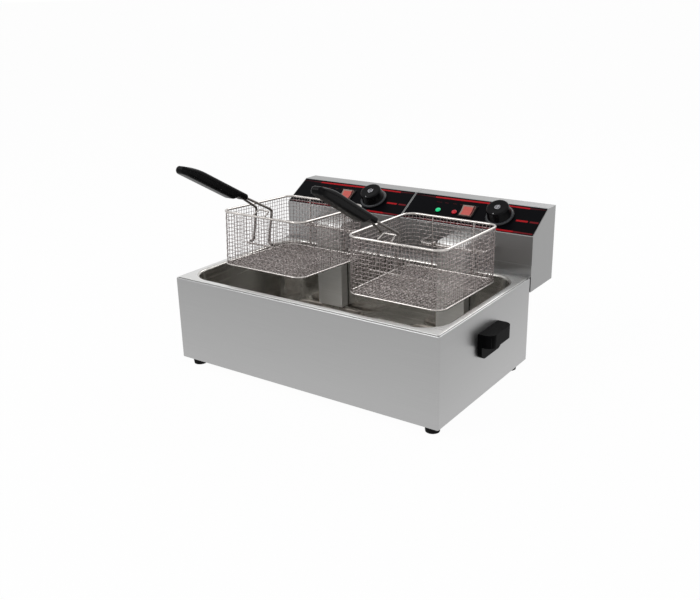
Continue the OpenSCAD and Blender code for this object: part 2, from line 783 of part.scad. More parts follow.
module cable_gland(side) color("dimgray") at_head(side)
  translate([0, head_back_y, head_floor_z + gland_rise]) rotate([-90, 0, 0]) difference() {
    union() {
      cylinder(h = gland_out * 0.4, d = gland_d, $fn = 6);
      cylinder(h = gland_out, d1 = gland_d - 3, d2 = gland_d - 8);
      translate([0, 0, -head_sheet - cut]) cylinder(h = head_sheet + 2 * cut, d = gland_neck_d);
      translate([0, 0, -head_sheet - 5]) cylinder(h = 5, d = gland_d, $fn = 6);
    }
    translate([0, 0, -3 * gland_out]) cylinder(h = 6 * gland_out, r = gland_bore_r);
  }
gland_neck_d = 2 * gland_bore_r + 5;

// ---------------------------------------------------------------- element, guard and hanger

// Guard outline in the YZ plane: [y, z], grown inwards by its sheet when inset is above 0
module guard_outline(inset) {
  back = inset > 0 ? head_front_y + cut : head_front_y;
  low = inset > 0 ? guard_foot_z - cut : guard_foot_z;
  r = guard_bend_r - inset;
  difference() {
    union() {
      translate([guard_front_y + inset, low])
        square([guard_back_y - guard_front_y + (inset > 0 ? cut : 0) - inset, guard_top_z - r - inset - low]);
      translate([guard_front_y + inset + r, low])
        square([back - guard_front_y - inset - r, guard_top_z - inset - low]);
      translate([guard_front_y + guard_bend_r, guard_top_z - guard_bend_r]) circle(r = r);
    }
    if (inset == 0)
      translate([guard_back_y, guard_foot_z - cut]) square([head_front_y, guard_arm_z - guard_foot_z + cut]);
  }
}

module element_guard(side) color("silver") at_head(side) translate([guard_shift, 0, 0]) difference() {
  across(guard_w) guard_outline(0);
  across(guard_w - 2 * head_sheet) guard_outline(head_sheet);
}

element_out_x = 4 * element_bend_r;
element_in_x = 2 * element_bend_r;
element_front_y = -tank_back_y + element_front_gap;
element_turn_y = guard_front_y - element_d / 2 - 3;
element_end_y = head_front_y + 14;
// A hairpin is two bends whose radius is a hair under half of the distance between its legs
hairpin_slack = 0.2;

// One half of the element's path, from its terminal to the middle of the rear turn
function element_path(side) = [
  [side * element_leg_pitch / 2, element_end_y, arm_z],
  [side * element_leg_pitch / 2, leg_y, arm_z],
  [side * element_leg_pitch / 2, leg_y, element_z],
  [side * element_out_x, leg_y, element_z],
  [side * element_out_x, element_front_y, element_z],
  [side * element_in_x, element_front_y, element_z],
  [side * element_in_x, element_turn_y, element_z]];

module heating_element(side) color("dimgray") at_head(side) translate([guard_shift, 0, 0]) {
  half = element_path(RIGHT);
  other = element_path(LEFT);
  n = len(half) - 1;
  hairpin_r = element_bend_r - hairpin_slack;
  bends = [arm_bend_r, element_bend_r, element_bend_r, hairpin_r, hairpin_r];
  rear_turn_r = element_in_x - hairpin_slack;
  wire(concat(half, [for (i = [0 : n]) other[n - i]]), element_d,
    concat(bends, [rear_turn_r, rear_turn_r], [for (i = [0 : len(bends) - 1]) bends[len(bends) - 1 - i]]));
}

module thermostat_bulb(side) color("peru") at_head(side) translate([guard_shift, 0, 0]) {
  bulb_z = guard_foot_z + 12;
  translate([0, leg_y, bulb_z]) cylinder(h = bulb_l, d = bulb_d);
  wire([[0, leg_y, bulb_z + bulb_l - cut], [0, leg_y, arm_z], [0, head_front_y + 14, arm_z]],
    capillary_d, arm_bend_r);
}

module hanger_rod(side) color("silver") at_head(side) translate([guard_shift, 0, rod_z]) {
  half = (rod_w - rod_d) / 2;
  wire([[-half, head_front_y, 0], [-half, rod_y, 0], [half, rod_y, 0], [half, head_front_y, 0]],
    rod_d, rod_bend_r);
}

// ---------------------------------------------------------------- baskets

mid_y = (front_y + rear_y) / 2;
brace_z = -(mesh_t / 2 + seat_gap + brace_d / 2);

module basket_rim(side) color("silver") at_basket(side)
  translate([0, mid_y, rim_z]) wire_loop(basket_w, basket_d, basket_corner_r, rim_d);

module basket_floor_frame(side) color("silver") at_basket(side) translate([0, mid_y, floor_z]) {
  wire_loop(basket_w, basket_d, basket_corner_r, floor_wire_d);
  for (y = [-1, 1])
    bar([-basket_w / 2, y * basket_d / 6, brace_z], [basket_w / 2, y * basket_d / 6, brace_z], brace_d);
}

module basket_hooks(side) color("silver") at_basket(side)
  for (x = [-1, 1]) {
    bar([x * hook_pitch / 2, hook_wall_y, floor_z + floor_wire_d / 2],
      [x * hook_pitch / 2, hook_wall_y, rim_z - rim_d / 2], hook_d);
    wire([[x * hook_pitch / 2, hook_wall_y, hook_top_z], [x * hook_pitch / 2, hook_back_y, hook_top_z],
      [x * hook_pitch / 2, hook_back_y, hook_top_z - hook_down]], hook_d, hook_d / 2 + running_gap);
  }

// Mesh walls: four flat sheets and four curved corner sheets between the rim and the floor wire
mesh_low_z = floor_z + floor_wire_d / 2;
mesh_high_z = rim_z - rim_d / 2;
mesh_h = mesh_high_z - mesh_low_z;
mesh_mid_z = (mesh_high_z + mesh_low_z) / 2;
panel_gap = 0.3;

module corner_sheet() {
  n = floor((mesh_h - mesh_bar) / mesh_pitch);
  pitch = (mesh_h - mesh_bar) / n;
  difference() {
    rotate_extrude(angle = 90)
      translate([basket_corner_r - mesh_t / 2, -mesh_h / 2])
        square([mesh_t, mesh_h]);
    for (j = [0 : n - 1], a = [25, 65])
      rotate([0, 0, a])
        translate([basket_corner_r, 0, (j - (n - 1) / 2) * pitch])
          cube([4 * mesh_t, basket_corner_r * 0.45, pitch - mesh_bar], center = true);
  }
}

module basket_mesh_walls(side) color("gainsboro") at_basket(side) translate([0, mid_y, mesh_mid_z]) {
  flat_x = basket_w - 2 * basket_corner_r - 2 * panel_gap;
  flat_y = basket_d - 2 * basket_corner_r - 2 * panel_gap;
  for (y = [-1, 1])
    translate([0, y * basket_d / 2, 0]) rotate([90, 0, 0]) mesh_sheet(flat_x, mesh_h);
  for (x = [-1, 1])
    translate([x * basket_w / 2, 0, 0]) rotate([90, 0, 90]) mesh_sheet(flat_y, mesh_h);
  for (i = [0 : 3])
    translate([(i == 0 || i == 3 ? 1 : -1) * (basket_w / 2 - basket_corner_r),
        (i < 2 ? 1 : -1) * (basket_d / 2 - basket_corner_r), 0])
      rotate([0, 0, 90 * i])
        corner_sheet();
}

module basket_mesh_floor(side) color("gainsboro") at_basket(side) translate([0, mid_y, floor_z])
  intersection() {
    mesh_sheet(basket_w - floor_wire_d, basket_d - floor_wire_d);
    linear_extrude(height = 4 * mesh_t, center = true)
      round_rect(basket_w - floor_wire_d, basket_d - floor_wire_d, basket_corner_r);
  }

// ---------------------------------------------------------------- basket handles

// The seat that a handle plugs into: a hoop that leans in over the rim to between the handle's legs,
// and a bar under the feet
module handle_seat(side) color("silver") at_seat(side) {
  hoop_z = rim_z + hoop_h;
  hoop_y = fork_y + (hoop_z - fork_foot_z) * tan(lean(side));
  low = [seat_half, front_y, rim_z + rim_d / 2];
  bend = [seat_half - 1, hoop_y, hoop_z];
  along = (bend - low) / norm(bend - low);
  miss = rim_d / 2 * sqrt(1 - along[2] * along[2]) - seat_d / 2;
  lead = sqrt(pow(rim_d / 2 + seat_gap, 2) - miss * miss) - rim_d / 2 * along[2];
  start = low + lead * along;
  wire([[-start[0], start[1], start[2]], [-bend[0], bend[1], bend[2]], bend, start], seat_d, seat_bend_r);
  seat_bar_half = fork_pitch / 2 + fork_foot + 4;
  bar_y = front_y + mesh_t / 2 + seat_gap + seat_d / 2;
  bar([-seat_bar_half, bar_y, seat_bar_z], [seat_bar_half, bar_y, seat_bar_z], seat_d);
}

module handle_fork(side) color("silver") at_handle(side)
  for (x = [-1, 1])
    wire([[x * (fork_pitch / 2 + fork_foot), fork_y, fork_foot_z],
      [x * fork_pitch / 2, fork_y, fork_foot_z],
      [x * fork_pitch / 2, fork_y, fork_top_z],
      [x * grip_wire_pitch / 2, bend_y, bend_z],
      [x * grip_wire_pitch / 2, grip_y - grip_set * cos(grip_angle), grip_z + grip_set * sin(grip_angle)]],
      fork_d, fork_bend_r);

// The grip's side view: [along, up], with the wires on up = 0
module grip_profile() {
  low = grip_over - grip_h;
  tip_up = low + grip_tip_r;
  start = grip_l - grip_curve;
  drop = grip_over - (tip_up + grip_tip_r);
  steps = 8;
  curve = [for (i = [0 : steps])
    let (f = i / steps, reach = grip_curve - grip_tip_r)
      [start + reach * f, grip_over - drop * f * f]];
  tip = [for (i = [1 : steps])
    let (a = 90 - 180 * i / steps)
      [grip_l - grip_tip_r + grip_tip_r * cos(a), tip_up + grip_tip_r * sin(a)]];
  polygon(concat([[0, -grip_under], [0, grip_over]], curve, tip,
    [[grip_deep, low], [grip_neck, -grip_under]]));
}

module handle_grip(side) color("black") at_handle(side)
  translate([0, grip_y, grip_z])
    rotate([-grip_angle, 0, 0])
      mirror([0, 1, 0])
        difference() {
          across(grip_w) grip_profile();
          for (x = [-1, 1]) {
            translate([x * grip_wire_pitch / 2, -cut, 0])
              rotate([-90, 0, 0])
                cylinder(h = grip_set + cut + 0.5, d = fork_d + 2 * bore_gap);
            for (i = [0, 1])
              translate([x * grip_w / 2 - recess_deep, recess_at[i], grip_over - grip_h + recess_rim])
                cube([2 * recess_deep, recess_l[i], recess_h]);
          }
          translate([0, grip_l - eye_from_tip, grip_over - grip_h + eye_up])
            rotate([0, 90, 0])
              cylinder(h = grip_w + 2 * cut, d = eye_d, center = true);
        }

// ---------------------------------------------------------------- nodes

casing();
base_plate();
tank();
feet();
foot_screws();
side_handle(LEFT);  // side_handle_left
side_handle(RIGHT);  // side_handle_right
side_handle_screws();
head_cover(LEFT);  // left_head_cover
head_hanger(LEFT);  // left_head_hanger
head_back_cover(LEFT);  // left_head_back_cover
head_screws(LEFT);  // left_head_screws
control_overlay(LEFT);  // left_control_overlay
knob(LEFT);  // left_knob
thermostat(LEFT);  // left_thermostat
thermostat_bulb(LEFT);  // left_thermostat_bulb
rocker_frame(LEFT);  // left_rocker_frame
rocker_paddle(LEFT);  // left_rocker_paddle
green_lamp(LEFT);  // left_green_lamp
red_lamp(LEFT);  // left_red_lamp
element_guard(LEFT);  // left_element_guard
heating_element(LEFT);  // left_heating_element
hanger_rod(LEFT);  // left_hanger_rod
cable_gland(LEFT);  // left_cable_gland
terminal_block(LEFT);  // left_terminal_block
limit_thermostat(LEFT);  // left_limit_thermostat
head_cover(RIGHT);  // right_head_cover
head_hanger(RIGHT);  // right_head_hanger
head_back_cover(RIGHT);  // right_head_back_cover
head_screws(RIGHT);  // right_head_screws
control_overlay(RIGHT);  // right_control_overlay
knob(RIGHT);  // right_knob
thermostat(RIGHT);  // right_thermostat
thermostat_bulb(RIGHT);  // right_thermostat_bulb
rocker_frame(RIGHT);  // right_rocker_frame
rocker_paddle(RIGHT);  // right_rocker_paddle
green_lamp(RIGHT);  // right_green_lamp
red_lamp(RIGHT);  // right_red_lamp
element_guard(RIGHT);  // right_element_guard
heating_element(RIGHT);  // right_heating_element
hanger_rod(RIGHT);  // right_hanger_rod
cable_gland(RIGHT);  // right_cable_gland
terminal_block(RIGHT);  // right_terminal_block
limit_thermostat(RIGHT);  // right_limit_thermostat
basket_rim(LEFT);  // left_basket_rim
basket_floor_frame(LEFT);  // left_basket_floor_frame
basket_hooks(LEFT);  // left_basket_hooks
handle_seat(LEFT);  // left_handle_seat
basket_mesh_walls(LEFT);  // left_basket_mesh_walls
basket_mesh_floor(LEFT);  // left_basket_mesh_floor
handle_fork(LEFT);  // left_handle_fork
handle_grip(LEFT);  // left_handle_grip
basket_rim(RIGHT);  // right_basket_rim
basket_floor_frame(RIGHT);  // right_basket_floor_frame
basket_hooks(RIGHT);  // right_basket_hooks
handle_seat(RIGHT);  // right_handle_seat
basket_mesh_walls(RIGHT);  // right_basket_mesh_walls
basket_mesh_floor(RIGHT);  // right_basket_mesh_floor
handle_fork(RIGHT);  // right_handle_fork
handle_grip(RIGHT);  // right_handle_grip
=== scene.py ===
"""Double countertop deep fryer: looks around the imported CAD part. Sizes in millimetres unless noted."""
import math

import bpy
import numpy as np
from mathutils import Matrix, Vector


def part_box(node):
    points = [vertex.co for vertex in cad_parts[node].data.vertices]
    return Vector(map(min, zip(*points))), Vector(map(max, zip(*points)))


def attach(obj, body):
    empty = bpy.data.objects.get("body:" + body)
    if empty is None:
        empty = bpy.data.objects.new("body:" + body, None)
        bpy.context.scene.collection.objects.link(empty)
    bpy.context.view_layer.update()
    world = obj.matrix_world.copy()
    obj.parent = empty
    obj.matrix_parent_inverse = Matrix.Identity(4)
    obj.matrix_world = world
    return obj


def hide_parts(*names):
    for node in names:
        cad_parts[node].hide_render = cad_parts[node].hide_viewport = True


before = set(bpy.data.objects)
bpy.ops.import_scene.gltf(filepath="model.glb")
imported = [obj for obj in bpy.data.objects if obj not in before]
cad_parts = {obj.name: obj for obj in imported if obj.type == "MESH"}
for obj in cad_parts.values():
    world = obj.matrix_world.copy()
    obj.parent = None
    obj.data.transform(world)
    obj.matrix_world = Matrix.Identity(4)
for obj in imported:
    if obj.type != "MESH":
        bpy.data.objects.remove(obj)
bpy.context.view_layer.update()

MM = 0.001
casing_lo, casing_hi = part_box("casing")
# The casing's middle line and lower edge in the frame of the pack: local millimetres start there
ORIGIN = Vector((0, (casing_lo.y + casing_hi.y) / 2, casing_lo.z))
CASING_W, CASING_D, CASING_H = (casing_hi - casing_lo) / MM

# Control heads: their places, and the foot, angle and print thickness of their sloping panels
SIDES = {"left": -1, "right": 1}
HEAD_PITCH = CASING_W / 4
HEAD_GAP = 4
HEAD_FRONT = CASING_D / 2 + HEAD_GAP
SLOPE_FOOT = CASING_H + 76
SLOPE_ANGLE = math.radians(30)
OVERLAY_T = 0.8
# Baskets: they hang by their rear on the rod, with the front a little high
TILT = {"left": math.radians(3), "right": math.radians(1)}
ROD_Z = CASING_H + 47
ROD_R = 2.5
ROD_Y = (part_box("left_hanger_rod")[0].y - ORIGIN.y) / MM + ROD_R
BASKET_W, BASKET_D, BASKET_H, BASKET_R = 185, 204, 100, 20
BASKET_SHIFT = {"left": 2, "right": 6}
BASKET_REAR = -9.5
BASKET_FRONT = BASKET_REAR - BASKET_D
# Heights over the rod's middle
RIM_Z = 57
FLOOR_Z = RIM_Z - BASKET_H
# How far a handle sits beside its basket's middle, and how far it leans over the rim
HANDLE_SHIFT = {"left": -1, "right": -16}
HANDLE_LEAN = {"left": math.radians(9), "right": math.radians(12)}


# ---------------------------------------------------------------- placing

def local(x=0, y=0, z=0, turn_x=0):
    """Matrix from a piece's own millimetres to the frame's metres."""
    return (Matrix.Translation(ORIGIN) @ Matrix.Scale(MM, 4)
            @ Matrix.Translation((x, y, z)) @ Matrix.Rotation(turn_x, 4, "X"))


def on_slope(side, x, s, out=0):
    """Matrix for a place on a head's sloping panel: x along it, s up it, and out from its sheet."""
    panel = local(SIDES[side] * HEAD_PITCH, HEAD_FRONT, SLOPE_FOOT, SLOPE_ANGLE)
    return panel @ Matrix.Translation((x, s, out))


def at_basket(side):
    """Matrix for a basket that hangs on its rod, with its tilt."""
    return local(SIDES[side] * HEAD_PITCH + BASKET_SHIFT[side], ROD_Y, ROD_Z, -TILT[side])


# ---------------------------------------------------------------- mesh building

class Build:
    """Collects vertices and faces, with a material index for each face."""

    def __init__(self):
        self.v, self.f, self.m = [], [], []

    def add(self, verts, faces, mat=0, matrix=None):
        """Adds a solid's vertices and faces, moved by the matrix if there is one."""
        base = len(self.v)
        self.v += [tuple(matrix @ Vector(p)) if matrix else tuple(p) for p in verts]
        self.f += [tuple(i + base for i in face) for face in faces]
        self.m += [mat] * len(faces)

    def piece(self, name, matrix, materials, body, smooth=True, replaces=(), slot=None):
        """Makes the object and gives it to its body."""
        me = bpy.data.meshes.new(name)
        me.from_pydata([tuple(matrix @ Vector(p)) for p in self.v], [], self.f)
        for mat in materials:
            me.materials.append(mat)
        me.polygons.foreach_set("material_index", self.m)
        me.polygons.foreach_set("use_smooth", [smooth] * len(self.f))
        me.update()
        ob = bpy.data.objects.new(name, me)
        bpy.context.scene.collection.objects.link(ob)
        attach(ob, body)
        if replaces:
            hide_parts(*replaces)
        return ob


def tube(points, radius, sides, closed=False):
    """A round wire through the points, as vertices and faces."""
    p = np.array(points, float)
    n = len(p)
    if closed:
        t = np.roll(p, -1, 0) - np.roll(p, 1, 0)
    else:
        t = np.gradient(p, axis=0)
    t /= np.linalg.norm(t, axis=1)[:, None]
    up = np.array([0.0, 0, 1]) if abs(t[0][2]) < 0.9 else np.array([1.0, 0, 0])
    a = np.cross(t[0], up)
    a /= np.linalg.norm(a)
    verts = []
    for i in range(n):
        a = a - t[i] * (a @ t[i])
        a /= np.linalg.norm(a)
        b = np.cross(t[i], a)
        for k in range(sides):
            w = 2 * math.pi * k / sides
            verts.append(p[i] + radius * (math.cos(w) * a + math.sin(w) * b))
    faces = []
    for i in range(n if closed else n - 1):
        j = (i + 1) % n
        for k in range(sides):
            q = (k + 1) % sides
            faces.append((i * sides + k, i * sides + q, j * sides + q, j * sides + k))
    if not closed:
        faces.append(tuple(reversed(range(sides))))
        faces.append(tuple((n - 1) * sides + k for k in range(sides)))
    return verts, faces


def lathe(profile, sides):
    """A closed solid of revolution round Z from (radius, height) pairs that start and end on the axis."""
    rings = profile[1:-1]
    verts = [(0, 0, profile[0][1])]
    for r, z in rings:
        for k in range(sides):
            w = 2 * math.pi * k / sides
            verts.append((r * math.cos(w), r * math.sin(w), z))
    verts.append((0, 0, profile[-1][1]))
    last = len(verts) - 1
    faces = []
    for k in range(sides):
        q = (k + 1) % sides
        faces.append((0, 1 + q, 1 + k))
        for i in range(len(rings) - 1):
            a, b = 1 + i * sides, 1 + (i + 1) * sides
            faces.append((a + k, a + q, b + q, b + k))
        c = 1 + (len(rings) - 1) * sides
        faces.append((last, c + k, c + q))
    return verts, faces


def round_rect(w, d, r, steps=8):
    """Points of a rectangle with round corners, anticlockwise."""
    pts = []
    for i, (cx, cy) in enumerate([(1, 1), (-1, 1), (-1, -1), (1, -1)]):
        for k in range(steps + 1):
            a = math.pi / 2 * (i + k / steps)
            pts.append((cx * (w / 2 - r) + r * math.cos(a), cy * (d / 2 - r) + r * math.sin(a)))
    return pts


def loft(loops, closed=False, cap=False):
    """Quads between loops of equal length; closed joins the last loop to the first."""
    n = len(loops[0])
    verts = [p for loop in loops for p in loop]
    faces = []
    for i in range(len(loops) if closed else len(loops) - 1):
        j = (i + 1) % len(loops)
        for k in range(n):
            q = (k + 1) % n
            faces.append((i * n + k, i * n + q, j * n + q, j * n + k))
    if cap:
        faces.append(tuple(reversed(range(n))))
        faces.append(tuple((len(loops) - 1) * n + k for k in range(n)))
    return verts, faces


def box_mesh(x0, x1, y0, y1, z0, z1):
    """A block between two corners."""
    v = [(x, y, z) for x in (x0, x1) for y in (y0, y1) for z in (z0, z1)]
    f = [(0, 1, 3, 2), (4, 6, 7, 5), (0, 4, 5, 1), (2, 3, 7, 6), (0, 2, 6, 4), (1, 5, 7, 3)]
    return v, f


# ---------------------------------------------------------------- materials

def material(name, color, rough, metal=0.0, emission=0.0, specular=0.5):
    """A material with the Principled shader's plain values."""
    mat = bpy.data.materials.new(name)
    mat.use_nodes = True
    bsdf = mat.node_tree.nodes["Principled BSDF"]
    bsdf.inputs["Base Color"].default_value = (*color, 1)
    bsdf.inputs["Roughness"].default_value = rough
    bsdf.inputs["Metallic"].default_value = metal
    bsdf.inputs["Specular IOR Level"].default_value = specular
    if emission:
        bsdf.inputs["Emission Color"].default_value = (*color, 1)
        bsdf.inputs["Emission Strength"].default_value = emission
    return mat


# Share of the noise that its ramps spread over, the height of a bump, and the noise's own roughness
NOISE_LOW, NOISE_HIGH = 0.3, 0.7
BUMP_HEIGHT = 0.0002
NOISE_ROUGH = 0.6


def grain(mat, scale, rough, color=None, bump=0.0, detail=6.0, fade=None):
    """Noise in the object's own space, stretched by scale, that drives roughness, colour and bump.

    rough and color are the values at the noise's low and high end.
    fade is (low, high, factor): the colour falls to the factor from the height low to high, in metres.
    """
    tree = mat.node_tree
    nodes, links = tree.nodes, tree.links
    bsdf = nodes["Principled BSDF"]
    coord = nodes.new("ShaderNodeTexCoord")
    mapping = nodes.new("ShaderNodeMapping")
    mapping.inputs["Scale"].default_value = scale
    noise = nodes.new("ShaderNodeTexNoise")
    noise.inputs["Scale"].default_value = 1.0
    noise.inputs["Detail"].default_value = detail
    noise.inputs["Roughness"].default_value = NOISE_ROUGH
    links.new(coord.outputs["Object"], mapping.inputs["Vector"])
    links.new(mapping.outputs["Vector"], noise.inputs["Vector"])
    spread = nodes.new("ShaderNodeMapRange")
    spread.inputs["From Min"].default_value = NOISE_LOW
    spread.inputs["From Max"].default_value = NOISE_HIGH
    spread.inputs["To Min"].default_value = rough[0]
    spread.inputs["To Max"].default_value = rough[1]
    links.new(noise.outputs["Fac"], spread.inputs["Value"])
    links.new(spread.outputs["Result"], bsdf.inputs["Roughness"])
    if color:
        ramp = nodes.new("ShaderNodeValToRGB")
        low_end, high_end = ramp.color_ramp.elements
        low_end.position = NOISE_LOW
        high_end.position = NOISE_HIGH
        low_end.color = (*color[0], 1)
        high_end.color = (*color[1], 1)
        links.new(noise.outputs["Fac"], ramp.inputs["Fac"])
        shade = ramp.outputs["Color"]
        if fade:
            low, high, factor = fade
            split = nodes.new("ShaderNodeSeparateXYZ")
            height = nodes.new("ShaderNodeMapRange")
            height.inputs["From Min"].default_value = low
            height.inputs["From Max"].default_value = high
            height.inputs["To Min"].default_value = 1.0
            height.inputs["To Max"].default_value = factor
            scaled = nodes.new("ShaderNodeVectorMath")
            scaled.operation = "SCALE"
            links.new(coord.outputs["Object"], split.inputs[0])
            links.new(split.outputs["Z"], height.inputs["Value"])
            links.new(shade, scaled.inputs[0])
            links.new(height.outputs["Result"], scaled.inputs["Scale"])
            shade = scaled.outputs[0]
        links.new(shade, bsdf.inputs["Base Color"])
    if bump:
        node = nodes.new("ShaderNodeBump")
        node.inputs["Strength"].default_value = bump
        node.inputs["Distance"].default_value = BUMP_HEIGHT
        links.new(noise.outputs["Fac"], node.inputs["Height"])
        links.new(node.outputs["Normal"], bsdf.inputs["Normal"])
    return mat


# Stretched scales draw the brushing, even ones the fine mottle of castings, mouldings and prints
STEEL = (0.40, 0.40, 0.40)
# Painted shade: the casing's colour is lightest low down and darker towards its top (fade), standing in for
# the light the floor throws on its lower part
steel = grain(material("brushed_steel", STEEL, 0.35, 1.0), (6.0, 6.0, 2400.0), (0.30, 0.40),
              ((0.405, 0.405, 0.405), (0.445, 0.445, 0.445)), 0.03, fade=(0.03, 0.18, 0.84))
# Painted shade: the heads' steel is a darker copy of the casing's
steel_head = grain(material("brushed_head", STEEL, 0.35, 1.0), (6.0, 6.0, 2400.0), (0.30, 0.40),
                   ((0.29, 0.29, 0.29), (0.32, 0.32, 0.32)), 0.03)
# Painted light and shade: the flange is a lighter copy of the basin's steel, and the basin's walls and floor
# a darker one
steel_top = grain(material("brushed_flange", STEEL, 0.3, 1.0), (2.0, 420.0, 2.0), (0.26, 0.34),
                  ((0.63, 0.63, 0.62), (0.68, 0.68, 0.67)), 0.02)
steel_basin = grain(material("satin_basin", STEEL, 0.25, 1.0), (3.0, 3.0, 200.0), (0.18, 0.28),
                    ((0.48, 0.47, 0.445), (0.55, 0.54, 0.515)), 0.02)
# Painted light: the element guard's steel is a much lighter copy, so that it stays bright beside the dark
# basin it reflects
steel_guard = grain(material("brushed_guard", STEEL, 0.45, 1.0), (6.0, 6.0, 900.0), (0.38, 0.50),
                    ((0.70, 0.70, 0.69), (0.79, 0.79, 0.78)), 0.02)
wire_bright = grain(material("bright_wire", (0.5, 0.48, 0.46), 0.22, 1.0), (60, 60, 60), (0.16, 0.30),
                    ((0.42, 0.395, 0.375), (0.56, 0.53, 0.51)), 0.03)
# Painted shade: the handle fork's wire is a dark copy of the bright wire
wire_dark = grain(material("dark_wire", (0.15, 0.14, 0.13), 0.3, 1.0), (60, 60, 60), (0.22, 0.36),
                  ((0.10, 0.09, 0.085), (0.20, 0.185, 0.175)), 0.03)
wire_floor = grain(material("floor_wire", (0.4, 0.37, 0.36), 0.3, 1.0), (240, 240, 240), (0.20, 0.36),
                   ((0.18, 0.15, 0.145), (0.64, 0.59, 0.58)), 0.05)
# Painted shade: the mesh wire is a darker copy of the bright wire, for the shade inside the basket
wire_mesh = grain(material("mesh_wire", (0.3, 0.27, 0.26), 0.3, 1.0), (240, 240, 240), (0.20, 0.36),
                  ((0.13, 0.10, 0.095), (0.50, 0.45, 0.44)), 0.05)
element_steel = grain(material("heated_tube", (0.3, 0.28, 0.26), 0.4, 1.0), (25, 25, 25), (0.3, 0.55),
                      ((0.16, 0.14, 0.13), (0.38, 0.35, 0.31)), 0.1)
black_plastic = grain(material("black_plastic", (0.0012, 0.0012, 0.0014), 0.4, specular=0.03),
                      (900, 900, 900), (0.4, 0.55), None, 0.08, 3.0)
grip_black = grain(material("grip_black", (0.0015, 0.0015, 0.0018), 0.3, specular=0.07), (900, 900, 900),
                   (0.26, 0.36), None, 0.05, 3.0)
black_gloss = grain(material("black_gloss", (0.002, 0.002, 0.0025), 0.2, specular=0.08), (300, 300, 300),
                    (0.16, 0.26), None, 0.02, 3.0)
# Painted reflection: the skirt's sloping band is a lighter grey than the black knob
skirt_grey = grain(material("skirt_grey", (0.030, 0.032, 0.036), 0.3, specular=0.3), (300, 300, 300),
                   (0.22, 0.34), None, 0.02, 3.0)
panel_black = grain(material("panel_black", (0.003, 0.003, 0.004), 0.35, specular=0.02), (500, 500, 500),
                    (0.3, 0.42), None, 0.03, 3.0)
rubber = grain(material("rubber", (0.004, 0.004, 0.004), 0.7, specular=0.1), (700, 700, 700), (0.6, 0.85),
               None, 0.15, 4.0)
# Painted glow: the brightest red of the print gives off a little light of its own
stripe_red = grain(material("stripe_red", (0.38, 0.012, 0.016), 0.4, specular=0.04, emission=0.1),
                   (200, 200, 200), (0.35, 0.5))
stripe_dull = grain(material("stripe_dull", (0.16, 0.012, 0.016), 0.45, specular=0.04),
                    (200, 200, 200), (0.4, 0.5))
stripe_faint = grain(material("stripe_faint", (0.06, 0.008, 0.011), 0.5, specular=0.04), (200, 200, 200),
                     (0.45, 0.55))
print_white = grain(material("print_white", (0.42, 0.42, 0.43), 0.5, specular=0.1),
                    (200, 200, 200), (0.45, 0.6))
rocker_red = grain(material("rocker_red", (0.46, 0.09, 0.075), 0.3, specular=0.2, emission=0.25),
                   (250, 250, 250), (0.25, 0.38))
# Painted highlight: the paddle's body is pale pink grey, and shows as a light border where the inlays leave
# its top and left edges bare
rocker_rim = grain(material("rocker_rim", (0.30, 0.21, 0.18), 0.3, specular=0.3),
                   (250, 250, 250), (0.25, 0.4))
rocker_dark = grain(material("rocker_dark", (0.09, 0.006, 0.008), 0.3, specular=0.1),
                    (250, 250, 250), (0.25, 0.4))
lens_green = grain(material("lens_green", (0.01, 0.52, 0.20), 0.2, specular=0.2, emission=0.5),
                   (250, 250, 250), (0.15, 0.25))
lens_red = grain(material("lens_red", (0.42, 0.010, 0.02), 0.2, specular=0.2, emission=0.3),
                 (250, 250, 250), (0.15, 0.25))
silver_cap = grain(material("silver_cap", (0.34, 0.34, 0.36), 0.3, 1.0), (400, 400, 400), (0.25, 0.4),
                   ((0.14, 0.14, 0.15), (0.50, 0.50, 0.53)))
screw_steel = grain(material("screw_steel", (0.5, 0.5, 0.5), 0.35, 1.0), (200, 200, 200), (0.3, 0.45))
copper = grain(material("copper", (0.75, 0.42, 0.28), 0.3, 1.0), (40, 40, 40), (0.25, 0.5))
ceramic = grain(material("ceramic", (0.75, 0.73, 0.68), 0.5), (60, 60, 60), (0.4, 0.6))
grey_body = grain(material("grey_body", (0.15, 0.15, 0.16), 0.5), (80, 80, 80), (0.4, 0.6))

# The material of each CAD node, by its whole name or by its name without the side in front
CAD_MATERIALS = {
    "casing": steel, "base_plate": steel, "tank": steel_basin, "feet": rubber, "foot_screws": screw_steel,
    "side_handle_left": black_plastic, "side_handle_right": black_plastic, "side_handle_screws": screw_steel,
    "head_cover": steel_head, "head_hanger": steel_head, "head_back_cover": steel_head,
    "head_screws": screw_steel, "control_overlay": panel_black, "knob": black_gloss,
    "thermostat": grey_body, "thermostat_bulb": copper, "rocker_frame": black_gloss,
    "rocker_paddle": rocker_red, "green_lamp": lens_green, "red_lamp": lens_red,
    "element_guard": steel_guard, "heating_element": element_steel,
    "hanger_rod": wire_bright, "cable_gland": black_plastic,
    "terminal_block": ceramic, "limit_thermostat": grey_body, "basket_rim": wire_bright,
    "basket_floor_frame": wire_bright, "basket_hooks": wire_bright, "handle_seat": wire_bright,
    "basket_mesh_walls": wire_mesh, "basket_mesh_floor": wire_floor, "handle_fork": wire_dark,
    "handle_grip": grip_black}
for node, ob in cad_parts.items():
    found = CAD_MATERIALS.get(node) or CAD_MATERIALS[node.split("_", 1)[1]]
    ob.data.materials.clear()
    ob.data.materials.append(found)


# Edges sharper than this are rounded, and vertices closer than this in metres are one
SHARP = math.radians(35)
WELD_REACH = 0.00001
# Rounding of the sheet's bends, of the side handles and of the rocker, in millimetres
HEAD_BEND, GUARD_BEND, CARRY_ROUND, ROCKER_ROUND = 1.0, 0.8, 2.0, 0.4


def bevel(ob, width, segments):
    """Rounds the sharp edges of an object with a modifier."""
    edge = ob.modifiers.new("bevel", "BEVEL")
    edge.width = width * MM
    edge.segments = segments
    edge.limit_method = "ANGLE"
    edge.angle_limit = SHARP
    edge.harden_normals = True


